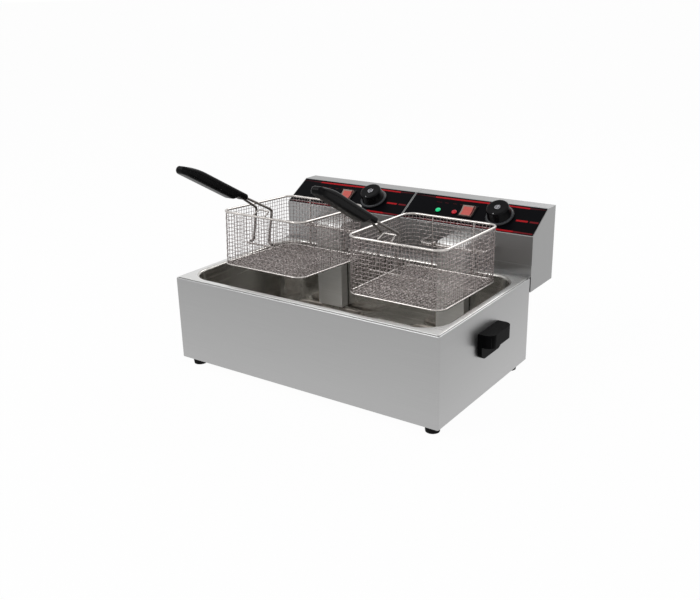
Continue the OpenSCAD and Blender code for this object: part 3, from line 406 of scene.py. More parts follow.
def soften(node, width, segments):
    """Rounds the sharp edges of a CAD node with modifiers."""
    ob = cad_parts[node]
    weld = ob.modifiers.new("weld", "WELD")
    weld.merge_threshold = WELD_REACH
    bevel(ob, width, segments)


for side in SIDES:
    soften(f"{side}_head_cover", HEAD_BEND, 3)
    soften(f"{side}_element_guard", GUARD_BEND, 2)
    soften(f"side_handle_{side}", CARRY_ROUND, 4)

# ---------------------------------------------------------------- casing and basin

SHEET = 1.0
FOLD = 12
BEND = 2.2
CASING_CORNER_R = 3.0


def arc(cx, cz, r, a0, a1, steps=4):
    """Points of an arc round (cx, cz) from one angle in degrees to another."""
    angles = [math.radians(a0 + (a1 - a0) * k / steps) for k in range(steps + 1)]
    return [(cx + r * math.cos(a), cz + r * math.sin(a)) for a in angles]


def add_casing():
    """Sheet casing: one bent outline of the sheet, swept round the four walls."""
    inner_r = BEND - SHEET
    outer = ([(FOLD, 0)] + arc(BEND, BEND, BEND, 270, 180)
             + arc(BEND, CASING_H - BEND, BEND, 180, 90) + [(FOLD, CASING_H)])
    inner = ([(FOLD, CASING_H - SHEET)] + arc(BEND, CASING_H - BEND, inner_r, 90, 180)
             + arc(BEND, BEND, inner_r, 180, 270) + [(FOLD, SHEET)])
    loops = []
    for inset, z in outer + inner:
        corner = max(CASING_CORNER_R - inset, 0.4)
        loops.append([(x, y, z) for x, y in round_rect(CASING_W - 2 * inset, CASING_D - 2 * inset, corner)])
    casing = Build()
    casing.add(*loft(loops, closed=True))
    casing.piece("outer_casing", local(), [steel], "casing", replaces=["casing"], slot="brushed_sheet")


TANK_SIDE, TANK_FRONT = 17, 17
TANK_R = 48
FLANGE_INSET, FLANGE_T = 3, 1.2
FLANGE_Z = CASING_H + 0.2
FLANGE_TOP = FLANGE_Z + FLANGE_T
FLANGE_CORNER_R, FLANGE_EDGE_R, FLANGE_UNDERCUT = 3.0, 0.6, 0.5
LIP_R = 4.5
# Height of the floor's underside, and the radius between floor and walls
FLOOR = 14
FLOOR_R = 14
# Small loop in the middle of the floor, as width, depth and corner radius, closed by one flat face
FLOOR_MIDDLE = (40, 20, 5)
# How many bands of faces, counted from the flange's underside, take the flange's lighter copy of the steel:
# painted light on the basin's top
LIT_FLANGE_BANDS = 5


def basin_loop(w, d, r, z):
    """A level loop of the basin."""
    return [(x, y, z) for x, y in round_rect(w, d, r, 12)]


def add_basin():
    """Basin from the flange's edge over the lip, down the wall, across the floor and up the outside."""
    flange_w, flange_d = CASING_W - 2 * FLANGE_INSET, CASING_D - 2 * FLANGE_INSET
    basin_w, basin_d = CASING_W - 2 * TANK_SIDE, CASING_D - 2 * TANK_FRONT
    floor_top = FLOOR + SHEET

    def wall_loop(inset, z):
        return basin_loop(basin_w - 2 * inset, basin_d - 2 * inset, TANK_R - inset, z)

    edge = arc(FLANGE_EDGE_R, FLANGE_Z + FLANGE_EDGE_R, FLANGE_EDGE_R, 200, 90, 3)
    edge.insert(0, (FLANGE_UNDERCUT, FLANGE_Z))
    loops = [basin_loop(flange_w - 2 * inset, flange_d - 2 * inset, FLANGE_CORNER_R, z) for inset, z in edge]
    loops += [wall_loop(inset, z) for inset, z in arc(-LIP_R, FLANGE_TOP - LIP_R, LIP_R, 90, 0, 6)]
    loops += [wall_loop(inset, z) for inset, z in arc(FLOOR_R, floor_top + FLOOR_R, FLOOR_R, 180, 270, 6)]
    floor_loop = len(loops)
    loops.append(basin_loop(*FLOOR_MIDDLE, floor_top))
    outside = arc(FLOOR_R, floor_top + FLOOR_R, FLOOR_R + SHEET, 270, 180, 6)
    loops += [wall_loop(inset, z) for inset, z in outside]
    loops.append(wall_loop(-SHEET, FLANGE_Z - 1))
    loops.append(wall_loop(-2 * SHEET, FLANGE_Z))

    tank = Build()
    tank.add(*loft(loops))
    ring = len(loops[0])
    last = (len(loops) - 1) * ring
    tank.f.append(tuple(floor_loop * ring + k for k in range(ring)))
    for k in range(ring):
        q = (k + 1) % ring
        tank.f.append((last + k, last + q, q, k))
    tank.m = [1 if i < ring * LIT_FLANGE_BANDS else 0 for i in range(len(tank.f))]
    tank.piece("basin", local(), [steel_basin, steel_top], "tank", replaces=["tank"], slot="basin_sheet")


add_casing()
add_basin()

# ---------------------------------------------------------------- baskets

MESH_WIRE = 1.0
MESH_PITCH = 7.2
MESH_WIRE_SIDES = 5
CRIMP = 0.42
# How far the floor's weave lies in from the walls, its smaller corner radius, and the least gap of a crimp
FLOOR_INSET = 1.1
FLOOR_CORNER_R = BASKET_R - 1
CRIMP_GAP = 1
BASKET_MIDDLE = (BASKET_FRONT + BASKET_REAR) / 2


def half_width_at(y, w, d, r):
    """Half of a round-cornered rectangle's width at height y above its middle."""
    inner = d / 2 - r
    if abs(y) <= inner:
        return w / 2
    return w / 2 - r + math.sqrt(max(0.0, r * r - (abs(y) - inner) ** 2))


def perimeter(w, d, r, count):
    """count points evenly round a rectangle with round corners, with outward directions."""
    straight = [w - 2 * r, d - 2 * r]
    quarter = math.pi / 2 * r
    total = 2 * sum(straight) + 4 * quarter
    corner_x, corner_y = w / 2 - r, d / 2 - r
    corners = [(corner_x, corner_y), (-corner_x, corner_y), (-corner_x, -corner_y), (corner_x, -corner_y)]
    pts = []
    for i in range(count):
        s = total * i / count
        for side in range(4):
            length = straight[1] if side % 2 == 0 else straight[0]
            angle = math.pi / 2 * side
            out = (math.cos(angle), math.sin(angle))
            along = (-out[1], out[0])
            cx, cy = corners[side]
            if s < length:
                start = (cx + out[0] * r - along[0] * length, cy + out[1] * r - along[1] * length)
                pts.append((start[0] + along[0] * s, start[1] + along[1] * s, *out))
                break
            s -= length
            if s < quarter:
                a = angle + s / r
                pts.append((cx + r * math.cos(a), cy + r * math.sin(a), math.cos(a), math.sin(a)))
                break
            s -= quarter
    return pts


def floor_weave():
    """Wires across the basket's floor both ways, each crimped over and under the others."""
    weave = Build()
    floor_w, floor_d = BASKET_W - 2 * FLOOR_INSET, BASKET_D - 2 * FLOOR_INSET
    columns, rows = round(floor_w / MESH_PITCH), round(floor_d / MESH_PITCH)
    directions = [(floor_w, floor_d, columns, rows, CRIMP, False),
                  (floor_d, floor_w, rows, columns, -CRIMP, True)]
    for length, across, steps, lines, crimp, turned in directions:
        pitch, gap = length / steps, across / lines
        for line in range(1, lines):
            off = -across / 2 + line * gap
            half = half_width_at(off, length, across, FLOOR_CORNER_R)
            crossings = [i * pitch / 2 - length / 2 for i in range(2 * steps + 1)]
            along = [-half] + [a for a in crossings if abs(a) < half - CRIMP_GAP] + [half]
            points = []
            for a in along:
                x, y = (off, a) if turned else (a, off)
                phase = math.pi * ((a + length / 2) / pitch + line)
                points.append((x, y + BASKET_MIDDLE, FLOOR_Z + crimp * math.cos(phase)))
            weave.add(*tube(points, MESH_WIRE / 2, MESH_WIRE_SIDES))
    return weave


def wall_weave():
    """Level rings round the basket's walls and upright wires, crimped against each other."""
    weave = Build()
    straight = 2 * (BASKET_W - 2 * BASKET_R) + 2 * (BASKET_D - 2 * BASKET_R)
    around = straight + 2 * math.pi * BASKET_R
    uprights = 2 * round(around / MESH_PITCH / 2)
    rows = round(BASKET_H / MESH_PITCH)
    pitch = BASKET_H / rows
    places = perimeter(BASKET_W, BASKET_D, BASKET_R, 2 * uprights)

    def point(place, crimp, z):
        x, y, out_x, out_y = place
        return x + out_x * crimp, y + BASKET_MIDDLE + out_y * crimp, z

    for k in range(1, rows):
        z = FLOOR_Z + k * pitch
        ring = [point(place, CRIMP * math.cos(math.pi * (i / 2 + k)), z) for i, place in enumerate(places)]
        weave.add(*tube(ring, MESH_WIRE / 2, MESH_WIRE_SIDES, closed=True))
    for i in range(0, 2 * uprights, 2):
        upright = [point(places[i], -CRIMP * math.cos(math.pi * (k / 2 + i / 2)), FLOOR_Z + k * pitch / 2)
                   for k in range(0, 2 * rows + 1)]
        weave.add(*tube(upright, MESH_WIRE / 2, MESH_WIRE_SIDES))
    return weave


for side in SIDES:
    floor_weave().piece(f"{side}_basket_floor_weave", at_basket(side), [wire_floor], f"{side}_basket",
                        replaces=[f"{side}_basket_mesh_floor"], slot="basket_mesh")
    wall_weave().piece(f"{side}_basket_wall_weave", at_basket(side), [wire_mesh], f"{side}_basket",
                       replaces=[f"{side}_basket_mesh_walls"], slot="basket_mesh")

# ---------------------------------------------------------------- controls

KNOB_X, KNOB_S, KNOB_LIFT = 58, 38, 2.0
ROCKER_X, ROCKER_S = -9, 39.5
LAMPS = {"green_lamp": (-70, lens_green), "red_lamp": (-35, lens_red)}
LAMP_S, LAMP_R = 33, 5.5

# Skirt of the knob: where its sloping band starts and ends, as (radius, height)
SKIRT_R, SKIRT_Z = 27.4, 1.9
SKIRT_IN_R, SKIRT_IN_Z = 22.9, 4.0
# Outlines of the knob's pieces, as (radius, height) pairs
KNOB_BODY = [(0, 0), (27.4, 0), (28, 0.5), (28, 1.2), (SKIRT_R, SKIRT_Z), (SKIRT_IN_R, SKIRT_IN_Z),
             (22.4, 4.6), (21.2, 20.6), (20.8, 21.8), (19.9, 22.7), (18.6, 23.0), (17.0, 23.0),
             (11.0, 22.6), (7.2, 22.5), (0, 22.5)]
SKIRT_BAND = [(0, 1.95), (SKIRT_R - 0.1, 1.95), (SKIRT_R - 0.05, SKIRT_Z + 0.08),
              (SKIRT_IN_R + 0.2, SKIRT_IN_Z + 0.04), (SKIRT_IN_R, 3.9), (0, 3.8)]
CAP = [(0, 22.4), (5.4, 22.4), (5.6, 23.0), (5.3, 23.4), (4.6, 23.5), (4.0, 23.1), (0, 23.0)]
CAP_RING = [(0, 22.9), (3.6, 22.9), (3.6, 23.15), (0, 23.2)]
CAP_MIDDLE = [(0, 23.0), (2.4, 23.0), (2.4, 23.35), (0, 23.5)]
POINTER_DOT = [(0, 22.8), (1.2, 22.8), (1.2, 23.1), (0, 23.15)]
POINTER_R = 18.0
# The scale runs clockwise in 26 degree steps, from 0 and then from 60 to 200
DIAL_START = -92
DIAL_MARKS = [(0, "0")] + [(97 + 26 * i, str(60 + 20 * i)) for i in range(8)]
DIGIT_SIZE = 4.2

BEZEL_W, BEZEL_L, BEZEL_H = 31.5, 33, 2
BEZEL_TOP = OVERLAY_T + BEZEL_H
BEZEL_FOOT, HOUSING_FOOT, TAB_FOOT = OVERLAY_T - 14, OVERLAY_T - 20, OVERLAY_T - 28
HOUSING_IN = 3
TABS, TAB_W, TAB_T = (-8, 0, 8), 4.8, 0.8
PADDLE_W, PADDLE_L = 25.7, 27.2
PADDLE_RISE, VALLEY = 8.5, 1.8
PADDLE_HALF, PADDLE_END = PADDLE_W / 2, PADDLE_L / 2 - 1.6
PIN_Z, PIN_R, PIN_HALF = OVERLAY_T - 3.5, 1.2, 14.15
ROCKER_THROW = math.radians(16)
# The paddle's inlays, as (x0, x1, y0, y1, finish): its lit window and its shaded right edge
WINDOW, SHADED = 1, 2
INLAYS = [(3.0 - PADDLE_HALF, PADDLE_HALF - 3.6, 0.9 - PADDLE_END, PADDLE_END - 3.2, WINDOW),
          (PADDLE_HALF - 3.2, PADDLE_HALF - 0.3, 0.3 - PADDLE_END, PADDLE_END - 0.3, SHADED)]
INLAY_T = 0.3

# Printed stripes, each a band from (x, low s, high s) to the next, with its colour
BRIGHT, DULL, FAINT = 0, 1, 2
STRIPES = [
    [(-128, 68.2, 68.8, FAINT), (-92, 66.2, 69.6, BRIGHT), (-34, 66.2, 70.4, BRIGHT),
     (22, 67.0, 71.0, BRIGHT), (106, 66.8, 70.4, FAINT), (137, 69.3, 70.3, FAINT)],
    [(-138, 67.6, 68.4, FAINT), (-128, 68.2, 68.8, FAINT)],
    [(92, 32.2, 36.4, BRIGHT), (115, 32.2, 36.4, BRIGHT)],
    [(119, 32.2, 36.4, DULL), (136, 32.4, 36.2, DULL)],
    [(-136, 3.8, 5.2, FAINT), (-90, 2.8, 6.8, DULL), (60, 2.8, 6.8, BRIGHT),
     (98, 2.8, 6.8, DULL), (136, 3.2, 6.0, DULL)]]
# Small captions, as rows of short bars: middle, place up the slope, width
CAPTIONS = [(-78, 55.4, 12), (-62, 55.4, 8), (-44, 55.8, 8), (-31, 55.8, 5)]
CAPTION_PITCH, CAPTION_FILL, CAPTION_HALF_H = 1.7, 0.7, 0.9
PRINT_LOW, PRINT_HIGH = OVERLAY_T - 0.02, OVERLAY_T + 0.12


def label(text, size):
    """Flat letters and digits as a mesh, centred on the origin."""
    curve = bpy.data.curves.new("label", "FONT")
    curve.body = text
    curve.size = size
    curve.align_x, curve.align_y = "CENTER", "CENTER"
    curve.resolution_u = 2
    ob = bpy.data.objects.new("label", curve)
    bpy.context.scene.collection.objects.link(ob)
    depsgraph = bpy.context.evaluated_depsgraph_get()
    me = ob.evaluated_get(depsgraph).to_mesh()
    verts = [tuple(v.co) for v in me.vertices]
    faces = [tuple(p.vertices) for p in me.polygons]
    bpy.data.objects.remove(ob)
    bpy.data.curves.remove(curve)
    return verts, faces


def skirt_point(turn, x, y):
    """Wraps a point of a flat label, x along and y up, onto the skirt's sloping band."""
    slope = math.atan2(SKIRT_IN_Z - SKIRT_Z, SKIRT_R - SKIRT_IN_R)
    r = (SKIRT_R + SKIRT_IN_R) / 2 - y * math.cos(slope)
    z = (SKIRT_Z + SKIRT_IN_Z) / 2 + y * math.sin(slope) + 0.03
    a = turn + x / r
    return r * math.cos(a), r * math.sin(a), z


def add_knob(side):
    """A sloping skirt with a scale, a round-edged body, a silver cap and a white pointer dot."""
    silver, white, grey = 1, 2, 3
    knob = Build()
    knob.add(*lathe(KNOB_BODY, 96))
    # The sloping band of the skirt takes the grey: a painted reflection
    knob.add(*lathe(SKIRT_BAND, 96), grey)
    knob.add(*lathe(CAP, 48), silver)
    knob.add(*lathe(CAP_RING, 32))
    knob.add(*lathe(CAP_MIDDLE, 32), silver)
    pointer = Matrix.Rotation(math.radians(DIAL_START), 4, "Z") @ Matrix.Translation((POINTER_R, 0, 0))
    knob.add(*lathe(POINTER_DOT, 20), white, pointer)
    for degrees, text in DIAL_MARKS:
        verts, faces = label(text, DIGIT_SIZE)
        turn = math.radians(DIAL_START + degrees)
        knob.add([skirt_point(turn, x, y) for x, y, z in verts], faces, white)
    knob.piece(f"{side}_control_knob", on_slope(side, KNOB_X, KNOB_S, KNOB_LIFT),
               [black_gloss, silver_cap, print_white, skirt_grey], f"{side}_knob",
               replaces=[f"{side}_knob"], slot="black_gloss")


def add_rocker_bezel(side):
    """The switch's bezel with a bevelled frame round its opening, its housing and its copper tabs."""
    rings = [(BEZEL_W - 0.4, BEZEL_L - 0.4, 2, OVERLAY_T),
             (BEZEL_W, BEZEL_L, 2, OVERLAY_T + 0.3),
             (BEZEL_W, BEZEL_L, 2, BEZEL_TOP - 0.5),
             (BEZEL_W - 1.2, BEZEL_L - 1.2, 1.6, BEZEL_TOP),
             (PADDLE_W + 1.4, PADDLE_L + 1.4, 0.8, BEZEL_TOP),
             (PADDLE_W + 0.8, PADDLE_L + 0.8, 0.5, BEZEL_TOP - 0.5),
             (PADDLE_W + 0.6, PADDLE_L + 0.6, 0.4, BEZEL_FOOT)]
    housing = [(BEZEL_W - HOUSING_IN, BEZEL_L - HOUSING_IN, 1, z) for z in (OVERLAY_T, HOUSING_FOOT)]
    bezel = Build()
    for solid, cap in ((rings, False), (housing, True)):
        loops = [[(x, y, z) for x, y in round_rect(w, d, r, 4)] for w, d, r, z in solid]
        bezel.add(*loft(loops, cap=cap))
    for x in TABS:
        bezel.add(*box_mesh(x - TAB_W / 2, x + TAB_W / 2, -TAB_T / 2, TAB_T / 2, TAB_FOOT, HOUSING_FOOT), 1)
    bezel.piece(f"{side}_rocker_bezel", on_slope(side, ROCKER_X, ROCKER_S), [black_gloss, copper],
                f"{side}_head", replaces=[f"{side}_rocker_frame"], slot="black_plastic")


def add_rocker(side):
    """The switch's paddle: a body with a shallow valley on top, its pin, and two thin inlays."""
    paddle = Build()
    outline = [(-PADDLE_END, PADDLE_RISE), (0, PADDLE_RISE - VALLEY), (PADDLE_END, PADDLE_RISE),
               (PADDLE_END + 0.8, 3), (4, -4), (-4, -4), (-PADDLE_END - 0.8, 3)]
    paddle.add(*loft([[(x, y, z) for y, z in outline] for x in (PADDLE_HALF, -PADDLE_HALF)], cap=True))
    pin = [(0, -PIN_HALF), (PIN_R, -PIN_HALF), (PIN_R, PIN_HALF), (0, PIN_HALF)]
    paddle.add(*lathe(pin, 24), matrix=Matrix.Rotation(math.radians(90), 4, "Y"))
    for x0, x1, y0, y1, finish in INLAYS:
        rim = [(y, PADDLE_RISE - VALLEY * (1 - abs(y) / PADDLE_END)) for y in (y0, 0, y1)]
        upper = [(y, z + INLAY_T / 2) for y, z in rim]
        lower = [(y, z - INLAY_T / 2) for y, z in reversed(rim)]
        paddle.add(*loft([[(x, y, z) for y, z in upper + lower] for x in (x1, x0)], cap=True), finish)
    tilted = on_slope(side, ROCKER_X, ROCKER_S, PIN_Z) @ Matrix.Rotation(ROCKER_THROW / 2, 4, "X")
    # The paddle's pale body shows round the inlays as a painted highlight
    rocker = paddle.piece(f"{side}_rocker_button", tilted, [rocker_rim, rocker_red, rocker_dark],
                          f"{side}_rocker", smooth=False, replaces=[f"{side}_rocker_paddle"],
                          slot="rocker_red")
    bevel(rocker, ROCKER_ROUND, 2)


def add_lamp(side, lamp, x, lens):
    """A domed lens in a black rim, with its body behind the panel."""
    body = Build()
    lens_r, body_r = LAMP_R - 0.3, LAMP_R - 1.25
    dome_foot, dome_rise = 1.2, 2.6
    body_foot = -OVERLAY_T - 18
    dome = [(lens_r * math.cos(a), dome_foot + dome_rise * math.sin(a)) for a in np.linspace(0.1, 1.45, 9)]
    rim = [(0, 0), (LAMP_R, 0), (LAMP_R, 0.9), (LAMP_R - 0.15, 1.2), (LAMP_R - 0.35, 1.2),
           (LAMP_R - 0.5, 0.9), (0, 0.8)]
    shell = [(0, body_foot), (body_r - 0.15, body_foot), (body_r, body_foot + 0.2), (body_r, 0), (0, 0)]
    body.add(*lathe([(0, 0.2), (lens_r, 1.0)] + dome + [(0, dome_foot + dome_rise)], 40))
    body.add(*lathe(rim, 40), 1)
    body.add(*lathe(shell, 32), 1)
    body.piece(f"{side}_{lamp}_lens", on_slope(side, x, LAMP_S, OVERLAY_T), [lens, black_gloss],
               f"{side}_head", replaces=[f"{side}_{lamp}"],
               slot="lens_green" if lamp == "green_lamp" else "lens_red")


def add_print(side):
    """Stripes and captions: thin films on the panel."""
    film = Build()
    block_faces = box_mesh(0, 1, 0, 1, 0, 1)[1]
    for band in STRIPES:
        for (x0, low0, high0, finish), (x1, low1, high1, _) in zip(band, band[1:]):
            corners = [(x0, low0), (x0, high0), (x1, low1), (x1, high1)]
            film.add([(x, s, z) for x, s in corners for z in (PRINT_LOW, PRINT_HIGH)], block_faces, finish)
    for middle, s, width in CAPTIONS:
        count = max(2, round(width / CAPTION_PITCH))
        for k in range(count):
            x0 = middle - width / 2 + k * width / count
            x1 = x0 + width / count * CAPTION_FILL
            film.add(*box_mesh(x0, x1, s - CAPTION_HALF_H, s + CAPTION_HALF_H, PRINT_LOW, PRINT_HIGH), FAINT)
    film.piece(f"{side}_panel_stripes", on_slope(side, 0, 0), [stripe_red, stripe_dull, stripe_faint],
               f"{side}_head", smooth=False, slot="panel_print")


for side in SIDES:
    add_knob(side)
    add_rocker_bezel(side)
    add_rocker(side)
    for lamp, (x, lens) in LAMPS.items():
        add_lamp(side, lamp, x, lens)
    add_print(side)


# ---------------------------------------------------------------- basket grips

FORK_RISE, FORK_DROP, FORK_RUN = 14, 48, 60
FORK_D, RIM_D = 4.5, 4.5
FORK_ANGLE, GRIP_ANGLE = math.radians(18.5), math.radians(17.5)
GRIP_L, GRIP_H, GRIP_W = 164, 19, 24
GRIP_OVER, GRIP_UNDER = 6, 5
GRIP_NECK, GRIP_DEEP, GRIP_CURVE, TIP_R = 18, 34, 52, 6.5
GRIP_LEAD = 3
# Rounding of the wire end, and the taper to the tip: its length and how far each flank comes in
END_R, TAPER_L, TAPER_IN = 2, 14, 7.5
FORK_Y = BASKET_FRONT + (RIM_D + FORK_D) / 2 + 0.3
FORK_FOOT_Z = RIM_Z - FORK_DROP
# From the legs' feet to the wire end of the grip, while the legs are upright
FOOT_TO_GRIP_Y = -FORK_RUN * math.cos(FORK_ANGLE) - GRIP_LEAD * math.cos(GRIP_ANGLE)
FORK_TOP = FORK_DROP + FORK_RISE
FOOT_TO_GRIP_Z = FORK_TOP + FORK_RUN * math.sin(FORK_ANGLE) + GRIP_LEAD * math.sin(GRIP_ANGLE)
# Recesses of the flanks, as (middle, length) along the grip, and their middle's height
RECESSES = ((51.5, 27), (94, 48))
RECESS_H, RECESS_R, RECESS_DEEP = 6, 2.9, 2.2
RECESS_MID = GRIP_OVER - GRIP_H + 6
# Slot at the tip for hanging the basket's handle up
SLOT_L, SLOT_H, SLOT_R = 13, 5, 2.4
SLOT_AT, SLOT_MID = GRIP_L - 19, RECESS_MID + 0.5
CUT_OVER = 4


def grip_heights(a):
    """The grip's lower and upper outline at a distance a from its wire end."""
    low_full = GRIP_OVER - GRIP_H
    tip_up = low_full + TIP_R
    if a < GRIP_NECK:
        low = -GRIP_UNDER
    elif a < GRIP_DEEP:
        f = (a - GRIP_NECK) / (GRIP_DEEP - GRIP_NECK)
        low = -GRIP_UNDER + (low_full + GRIP_UNDER) * f * f * (3 - 2 * f)
    else:
        low = low_full
    high = GRIP_OVER
    start = GRIP_L - GRIP_CURVE
    if a > start:
        f = (a - start) / (GRIP_CURVE - TIP_R)
        high = GRIP_OVER - (GRIP_OVER - (tip_up + TIP_R)) * min(f, 1) ** 2
    round_start = GRIP_L - TIP_R
    if a > round_start:
        h = math.sqrt(max(0.0, TIP_R ** 2 - (a - round_start) ** 2))
        low, high = tip_up - h, tip_up + h
    return low, high


def grip_section(a, low, high, half_w):
    """A rounded section with a fine groove along each flank, as points of the plane across the grip."""
    r = min(4.5, (high - low) * 0.42, half_w * 0.6)
    seam = low + (high - low) * 0.62
    groove_half, groove_deep = 0.5, 0.45
    corners = [(half_w - r, high - r, 0), (-half_w + r, high - r, 90), (-half_w + r, low + r, 180),
               (half_w - r, low + r, 270)]
    pts = []
    for cx, cz, start in corners:
        pts += [(x, a, z) for x, z in arc(cx, cz, r, start, start + 90, 6)]
        if start == 90:
            pts += [(-half_w, a, seam + groove_half), (-half_w + groove_deep, a, seam),
                    (-half_w, a, seam - groove_half)]
        if start == 270:
            pts += [(half_w, a, seam - groove_half), (half_w - groove_deep, a, seam),
                    (half_w, a, seam + groove_half)]
    return pts


def grip_body():
    """The grip from its wire end to its tip, along +Y."""
    round_start = GRIP_L - TIP_R
    along = ([0.0, 0.35, 1.0, 2.0] + list(np.linspace(4, GRIP_NECK - 1, 5))
             + list(np.linspace(GRIP_NECK, GRIP_DEEP, 9))
             + list(np.linspace(GRIP_DEEP + 6, round_start - 2, 26))
             + [round_start + TIP_R * math.sin(math.radians(q)) for q in (0, 15, 30, 45, 58, 70, 80, 87)])
    loops = []
    for a in along:
        low, high = grip_heights(a)
        half_w = GRIP_W / 2
        if a < END_R:
            pull = END_R - math.sqrt(END_R ** 2 - (END_R - a) ** 2)
            low, high, half_w = low + pull, high - pull, half_w - pull
        tip = a - (GRIP_L - TAPER_L)
        if tip > 0:
            half_w -= TAPER_IN * (1 - math.sqrt(max(0.0, 1 - (tip / TAPER_L) ** 2)))
        loops.append(grip_section(a, low, high, half_w))
    grip = Build()
    grip.add(*loft(loops, cap=True))
    # The grip is mirrored into its place, so its faces are turned round
    grip.f = [tuple(reversed(face)) for face in grip.f]
    return grip


def grip_cuts():
    """What the flanks' recesses and the hanging slot take out of the grip."""
    cuts = Build()
    for flank in (-1, 1):
        x0, x1 = sorted((flank * (GRIP_W / 2 - RECESS_DEEP), flank * (GRIP_W / 2 + CUT_OVER)))
        for middle, length in RECESSES:
            outline = [(middle + p, RECESS_MID + q) for p, q in round_rect(length, RECESS_H, RECESS_R, 6)]
            cuts.add(*loft([[(x, y, z) for y, z in outline] for x in (x0, x1)], cap=True))
    outline = [(SLOT_AT + p, SLOT_MID + q) for p, q in round_rect(SLOT_L, SLOT_H, SLOT_R, 6)]
    cuts.add(*loft([[(x, y, z) for y, z in outline] for x in (-GRIP_W, GRIP_W)], cap=True))
    return cuts


def carve(piece, cuts, matrix):
    """Takes the cuts out of a piece and keeps the result as its own mesh."""
    knife_mesh = bpy.data.meshes.new("recesses")
    knife_mesh.from_pydata([tuple(matrix @ Vector(p)) for p in cuts.v], [], cuts.f)
    knife = bpy.data.objects.new("recesses", knife_mesh)
    bpy.context.scene.collection.objects.link(knife)
    boolean = piece.modifiers.new("recesses", "BOOLEAN")
    boolean.operation = "DIFFERENCE"
    boolean.solver = "EXACT"
    boolean.object = knife
    bpy.context.view_layer.update()
    depsgraph = bpy.context.evaluated_depsgraph_get()
    carved = bpy.data.meshes.new_from_object(piece.evaluated_get(depsgraph))
    piece.modifiers.clear()
    piece.data = carved
    carved.shade_smooth()
    carved.set_sharp_from_angle(angle=math.radians(38))
    bpy.data.objects.remove(knife)


for side in SIDES:
    handle = (at_basket(side) @ Matrix.Translation((HANDLE_SHIFT[side], FORK_Y, FORK_FOOT_Z))
              @ Matrix.Rotation(-HANDLE_LEAN[side], 4, "X")
              @ Matrix.Translation((0, FOOT_TO_GRIP_Y, FOOT_TO_GRIP_Z))
              @ Matrix.Rotation(-GRIP_ANGLE, 4, "X") @ Matrix.Scale(-1, 4, (0, 1, 0)))
    piece = grip_body().piece(f"{side}_basket_grip", handle, [grip_black], f"{side}_basket_handle",
                              replaces=[f"{side}_handle_grip"], slot="black_plastic")
    carve(piece, grip_cuts(), handle)

# ---------------------------------------------------------------- camera, floor, world, lights

# The photograph's camera, as fitted to its edges: turns, focal length in pixels, place in local millimetres
YAW, PITCH, ROLL = math.radians(35.18), math.radians(19.69), math.radians(-1.21)
FOCAL_PX, FRAME_PX = 861.8, 700
CAMERA = (864.9, -1230.4, 654.7)
SENSOR = 36
# Share of white in the floor that the camera sees, the floor's own grey, and half its width in metres
FLOOR_WHITE = 0.97
FLOOR_GREY = 0.86
FLOOR_HALF = 150


def add_camera():
    """The camera, from its back, right and up directions."""
    back = Vector((math.sin(YAW) * math.cos(PITCH), -math.cos(YAW) * math.cos(PITCH), math.sin(PITCH)))
    level_right = Vector((math.cos(YAW), math.sin(YAW), 0))
    level_up = back.cross(level_right)
    right = math.cos(ROLL) * level_right + math.sin(ROLL) * level_up
    up = -math.sin(ROLL) * level_right + math.cos(ROLL) * level_up
    cam = bpy.data.objects.new("camera", bpy.data.cameras.new("camera"))
    cam.data.sensor_width = SENSOR
    cam.data.lens = FOCAL_PX * SENSOR / FRAME_PX
    cam.data.clip_start = 0.01
    cam.data.clip_end = 400
    cam.matrix_world = Matrix(((right.x, up.x, back.x, 0), (right.y, up.y, back.y, 0),
                               (right.z, up.z, back.z, 0), (0, 0, 0, 1)))
    cam.location = ORIGIN + Vector(CAMERA) * MM
    bpy.context.scene.collection.objects.link(cam)
    bpy.context.scene.camera = cam


def sees_background(nodes, links):
    """1 for the rays that show the white background: the camera's, and those by way of gloss or glass."""
    path = nodes.new("ShaderNodeLightPath")
    total = path.outputs["Is Camera Ray"]
    for name in ("Is Glossy Ray", "Is Transmission Ray"):
        add = nodes.new("ShaderNodeMath")
        add.operation = "ADD"
        add.use_clamp = True
        links.new(total, add.inputs[0])
        links.new(path.outputs[name], add.inputs[1])
        total = add.outputs[0]
    return total


def floor_material():
    """Nearly white where it is seen, and a plain pale floor for all other light."""
    mat = bpy.data.materials.new("studio_floor")
    mat.use_nodes = True
    nodes, links = mat.node_tree.nodes, mat.node_tree.links
    nodes.clear()
    out = nodes.new("ShaderNodeOutputMaterial")
    mix = nodes.new("ShaderNodeMixShader")
    diffuse = nodes.new("ShaderNodeBsdfDiffuse")
    diffuse.inputs["Color"].default_value = (FLOOR_GREY, FLOOR_GREY, FLOOR_GREY, 1)
    white = nodes.new("ShaderNodeEmission")
    white.inputs["Color"].default_value = (1, 1, 1, 1)
    white.inputs["Strength"].default_value = 1
    share = nodes.new("ShaderNodeMath")
    share.operation = "MULTIPLY"
    share.inputs[1].default_value = FLOOR_WHITE
    links.new(sees_background(nodes, links), share.inputs[0])
    links.new(share.outputs[0], mix.inputs[0])
    links.new(diffuse.outputs[0], mix.inputs[1])
    links.new(white.outputs[0], mix.inputs[2])
    links.new(mix.outputs[0], out.inputs[0])
    return mat


def add_floor():
    """A wide floor under the feet."""
    corners = [(-FLOOR_HALF, -FLOOR_HALF, 0), (FLOOR_HALF, -FLOOR_HALF, 0), (FLOOR_HALF, FLOOR_HALF, 0),
               (-FLOOR_HALF, FLOOR_HALF, 0)]
    mesh = bpy.data.meshes.new("studio_floor")
    mesh.from_pydata(corners, [], [(0, 1, 2, 3)])
    mesh.materials.append(floor_material())
    floor = bpy.data.objects.new("studio_floor", mesh)
    bpy.context.scene.collection.objects.link(floor)


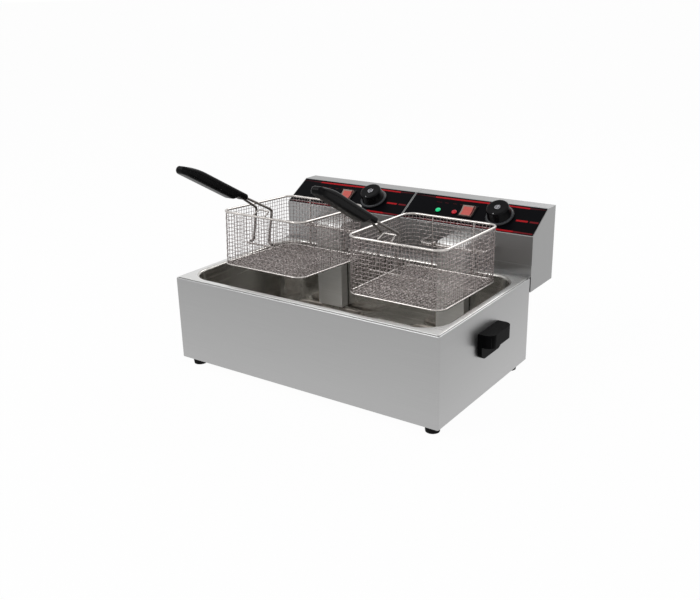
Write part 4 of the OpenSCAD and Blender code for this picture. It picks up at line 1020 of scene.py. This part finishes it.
def add_world():
    """A room that is light below and darker above, and white where it is seen as background."""
    world = bpy.data.worlds.new("studio")
    bpy.context.scene.world = world
    world.use_nodes = True
    nodes, links = world.node_tree.nodes, world.node_tree.links
    nodes.clear()
    out = nodes.new("ShaderNodeOutputWorld")
    seen = nodes.new("ShaderNodeBackground")
    seen.inputs["Color"].default_value = (1, 1, 1, 1)
    lit = nodes.new("ShaderNodeBackground")
    coord = nodes.new("ShaderNodeTexCoord")
    split = nodes.new("ShaderNodeSeparateXYZ")
    ramp = nodes.new("ShaderNodeValToRGB")
    horizon, zenith = ramp.color_ramp.elements
    horizon.position = 0.0
    horizon.color = (0.85, 0.85, 0.85, 1)
    zenith.position = 0.9
    zenith.color = (0.30, 0.30, 0.31, 1)
    middle = ramp.color_ramp.elements.new(0.35)
    middle.color = (0.75, 0.75, 0.75, 1)
    mix = nodes.new("ShaderNodeMixShader")
    links.new(coord.outputs["Generated"], split.inputs[0])
    links.new(split.outputs["Z"], ramp.inputs["Fac"])
    links.new(ramp.outputs["Color"], lit.inputs["Color"])
    links.new(sees_background(nodes, links), mix.inputs[0])
    links.new(lit.outputs[0], mix.inputs[1])
    links.new(seen.outputs[0], mix.inputs[2])
    links.new(mix.outputs[0], out.inputs[0])


def area_light(name, place, target, size, power):
    """A rectangular lamp at a place, aimed at a target, all in metres."""
    data = bpy.data.lights.new(name, "AREA")
    data.shape = "RECTANGLE"
    data.size, data.size_y = size
    data.energy = power
    ob = bpy.data.objects.new(name, data)
    ob.location = place
    ob.rotation_mode = "QUATERNION"
    ob.rotation_quaternion = (Vector(target) - Vector(place)).to_track_quat("-Z", "Y")
    bpy.context.scene.collection.objects.link(ob)


add_camera()
add_floor()
add_world()
area_light("key", (-1.2, -1.8, 2.2), (0, 0, 0.15), (1.6, 1.2), 32)
area_light("fill", (2.2, -0.6, 1.4), (0, 0, 0.15), (1.4, 1.4), 5.5)
area_light("back", (0.3, 2.2, 1.8), (0, 0, 0.2), (2.0, 0.8), 16)

bpy.context.scene.view_settings.view_transform = "Standard"
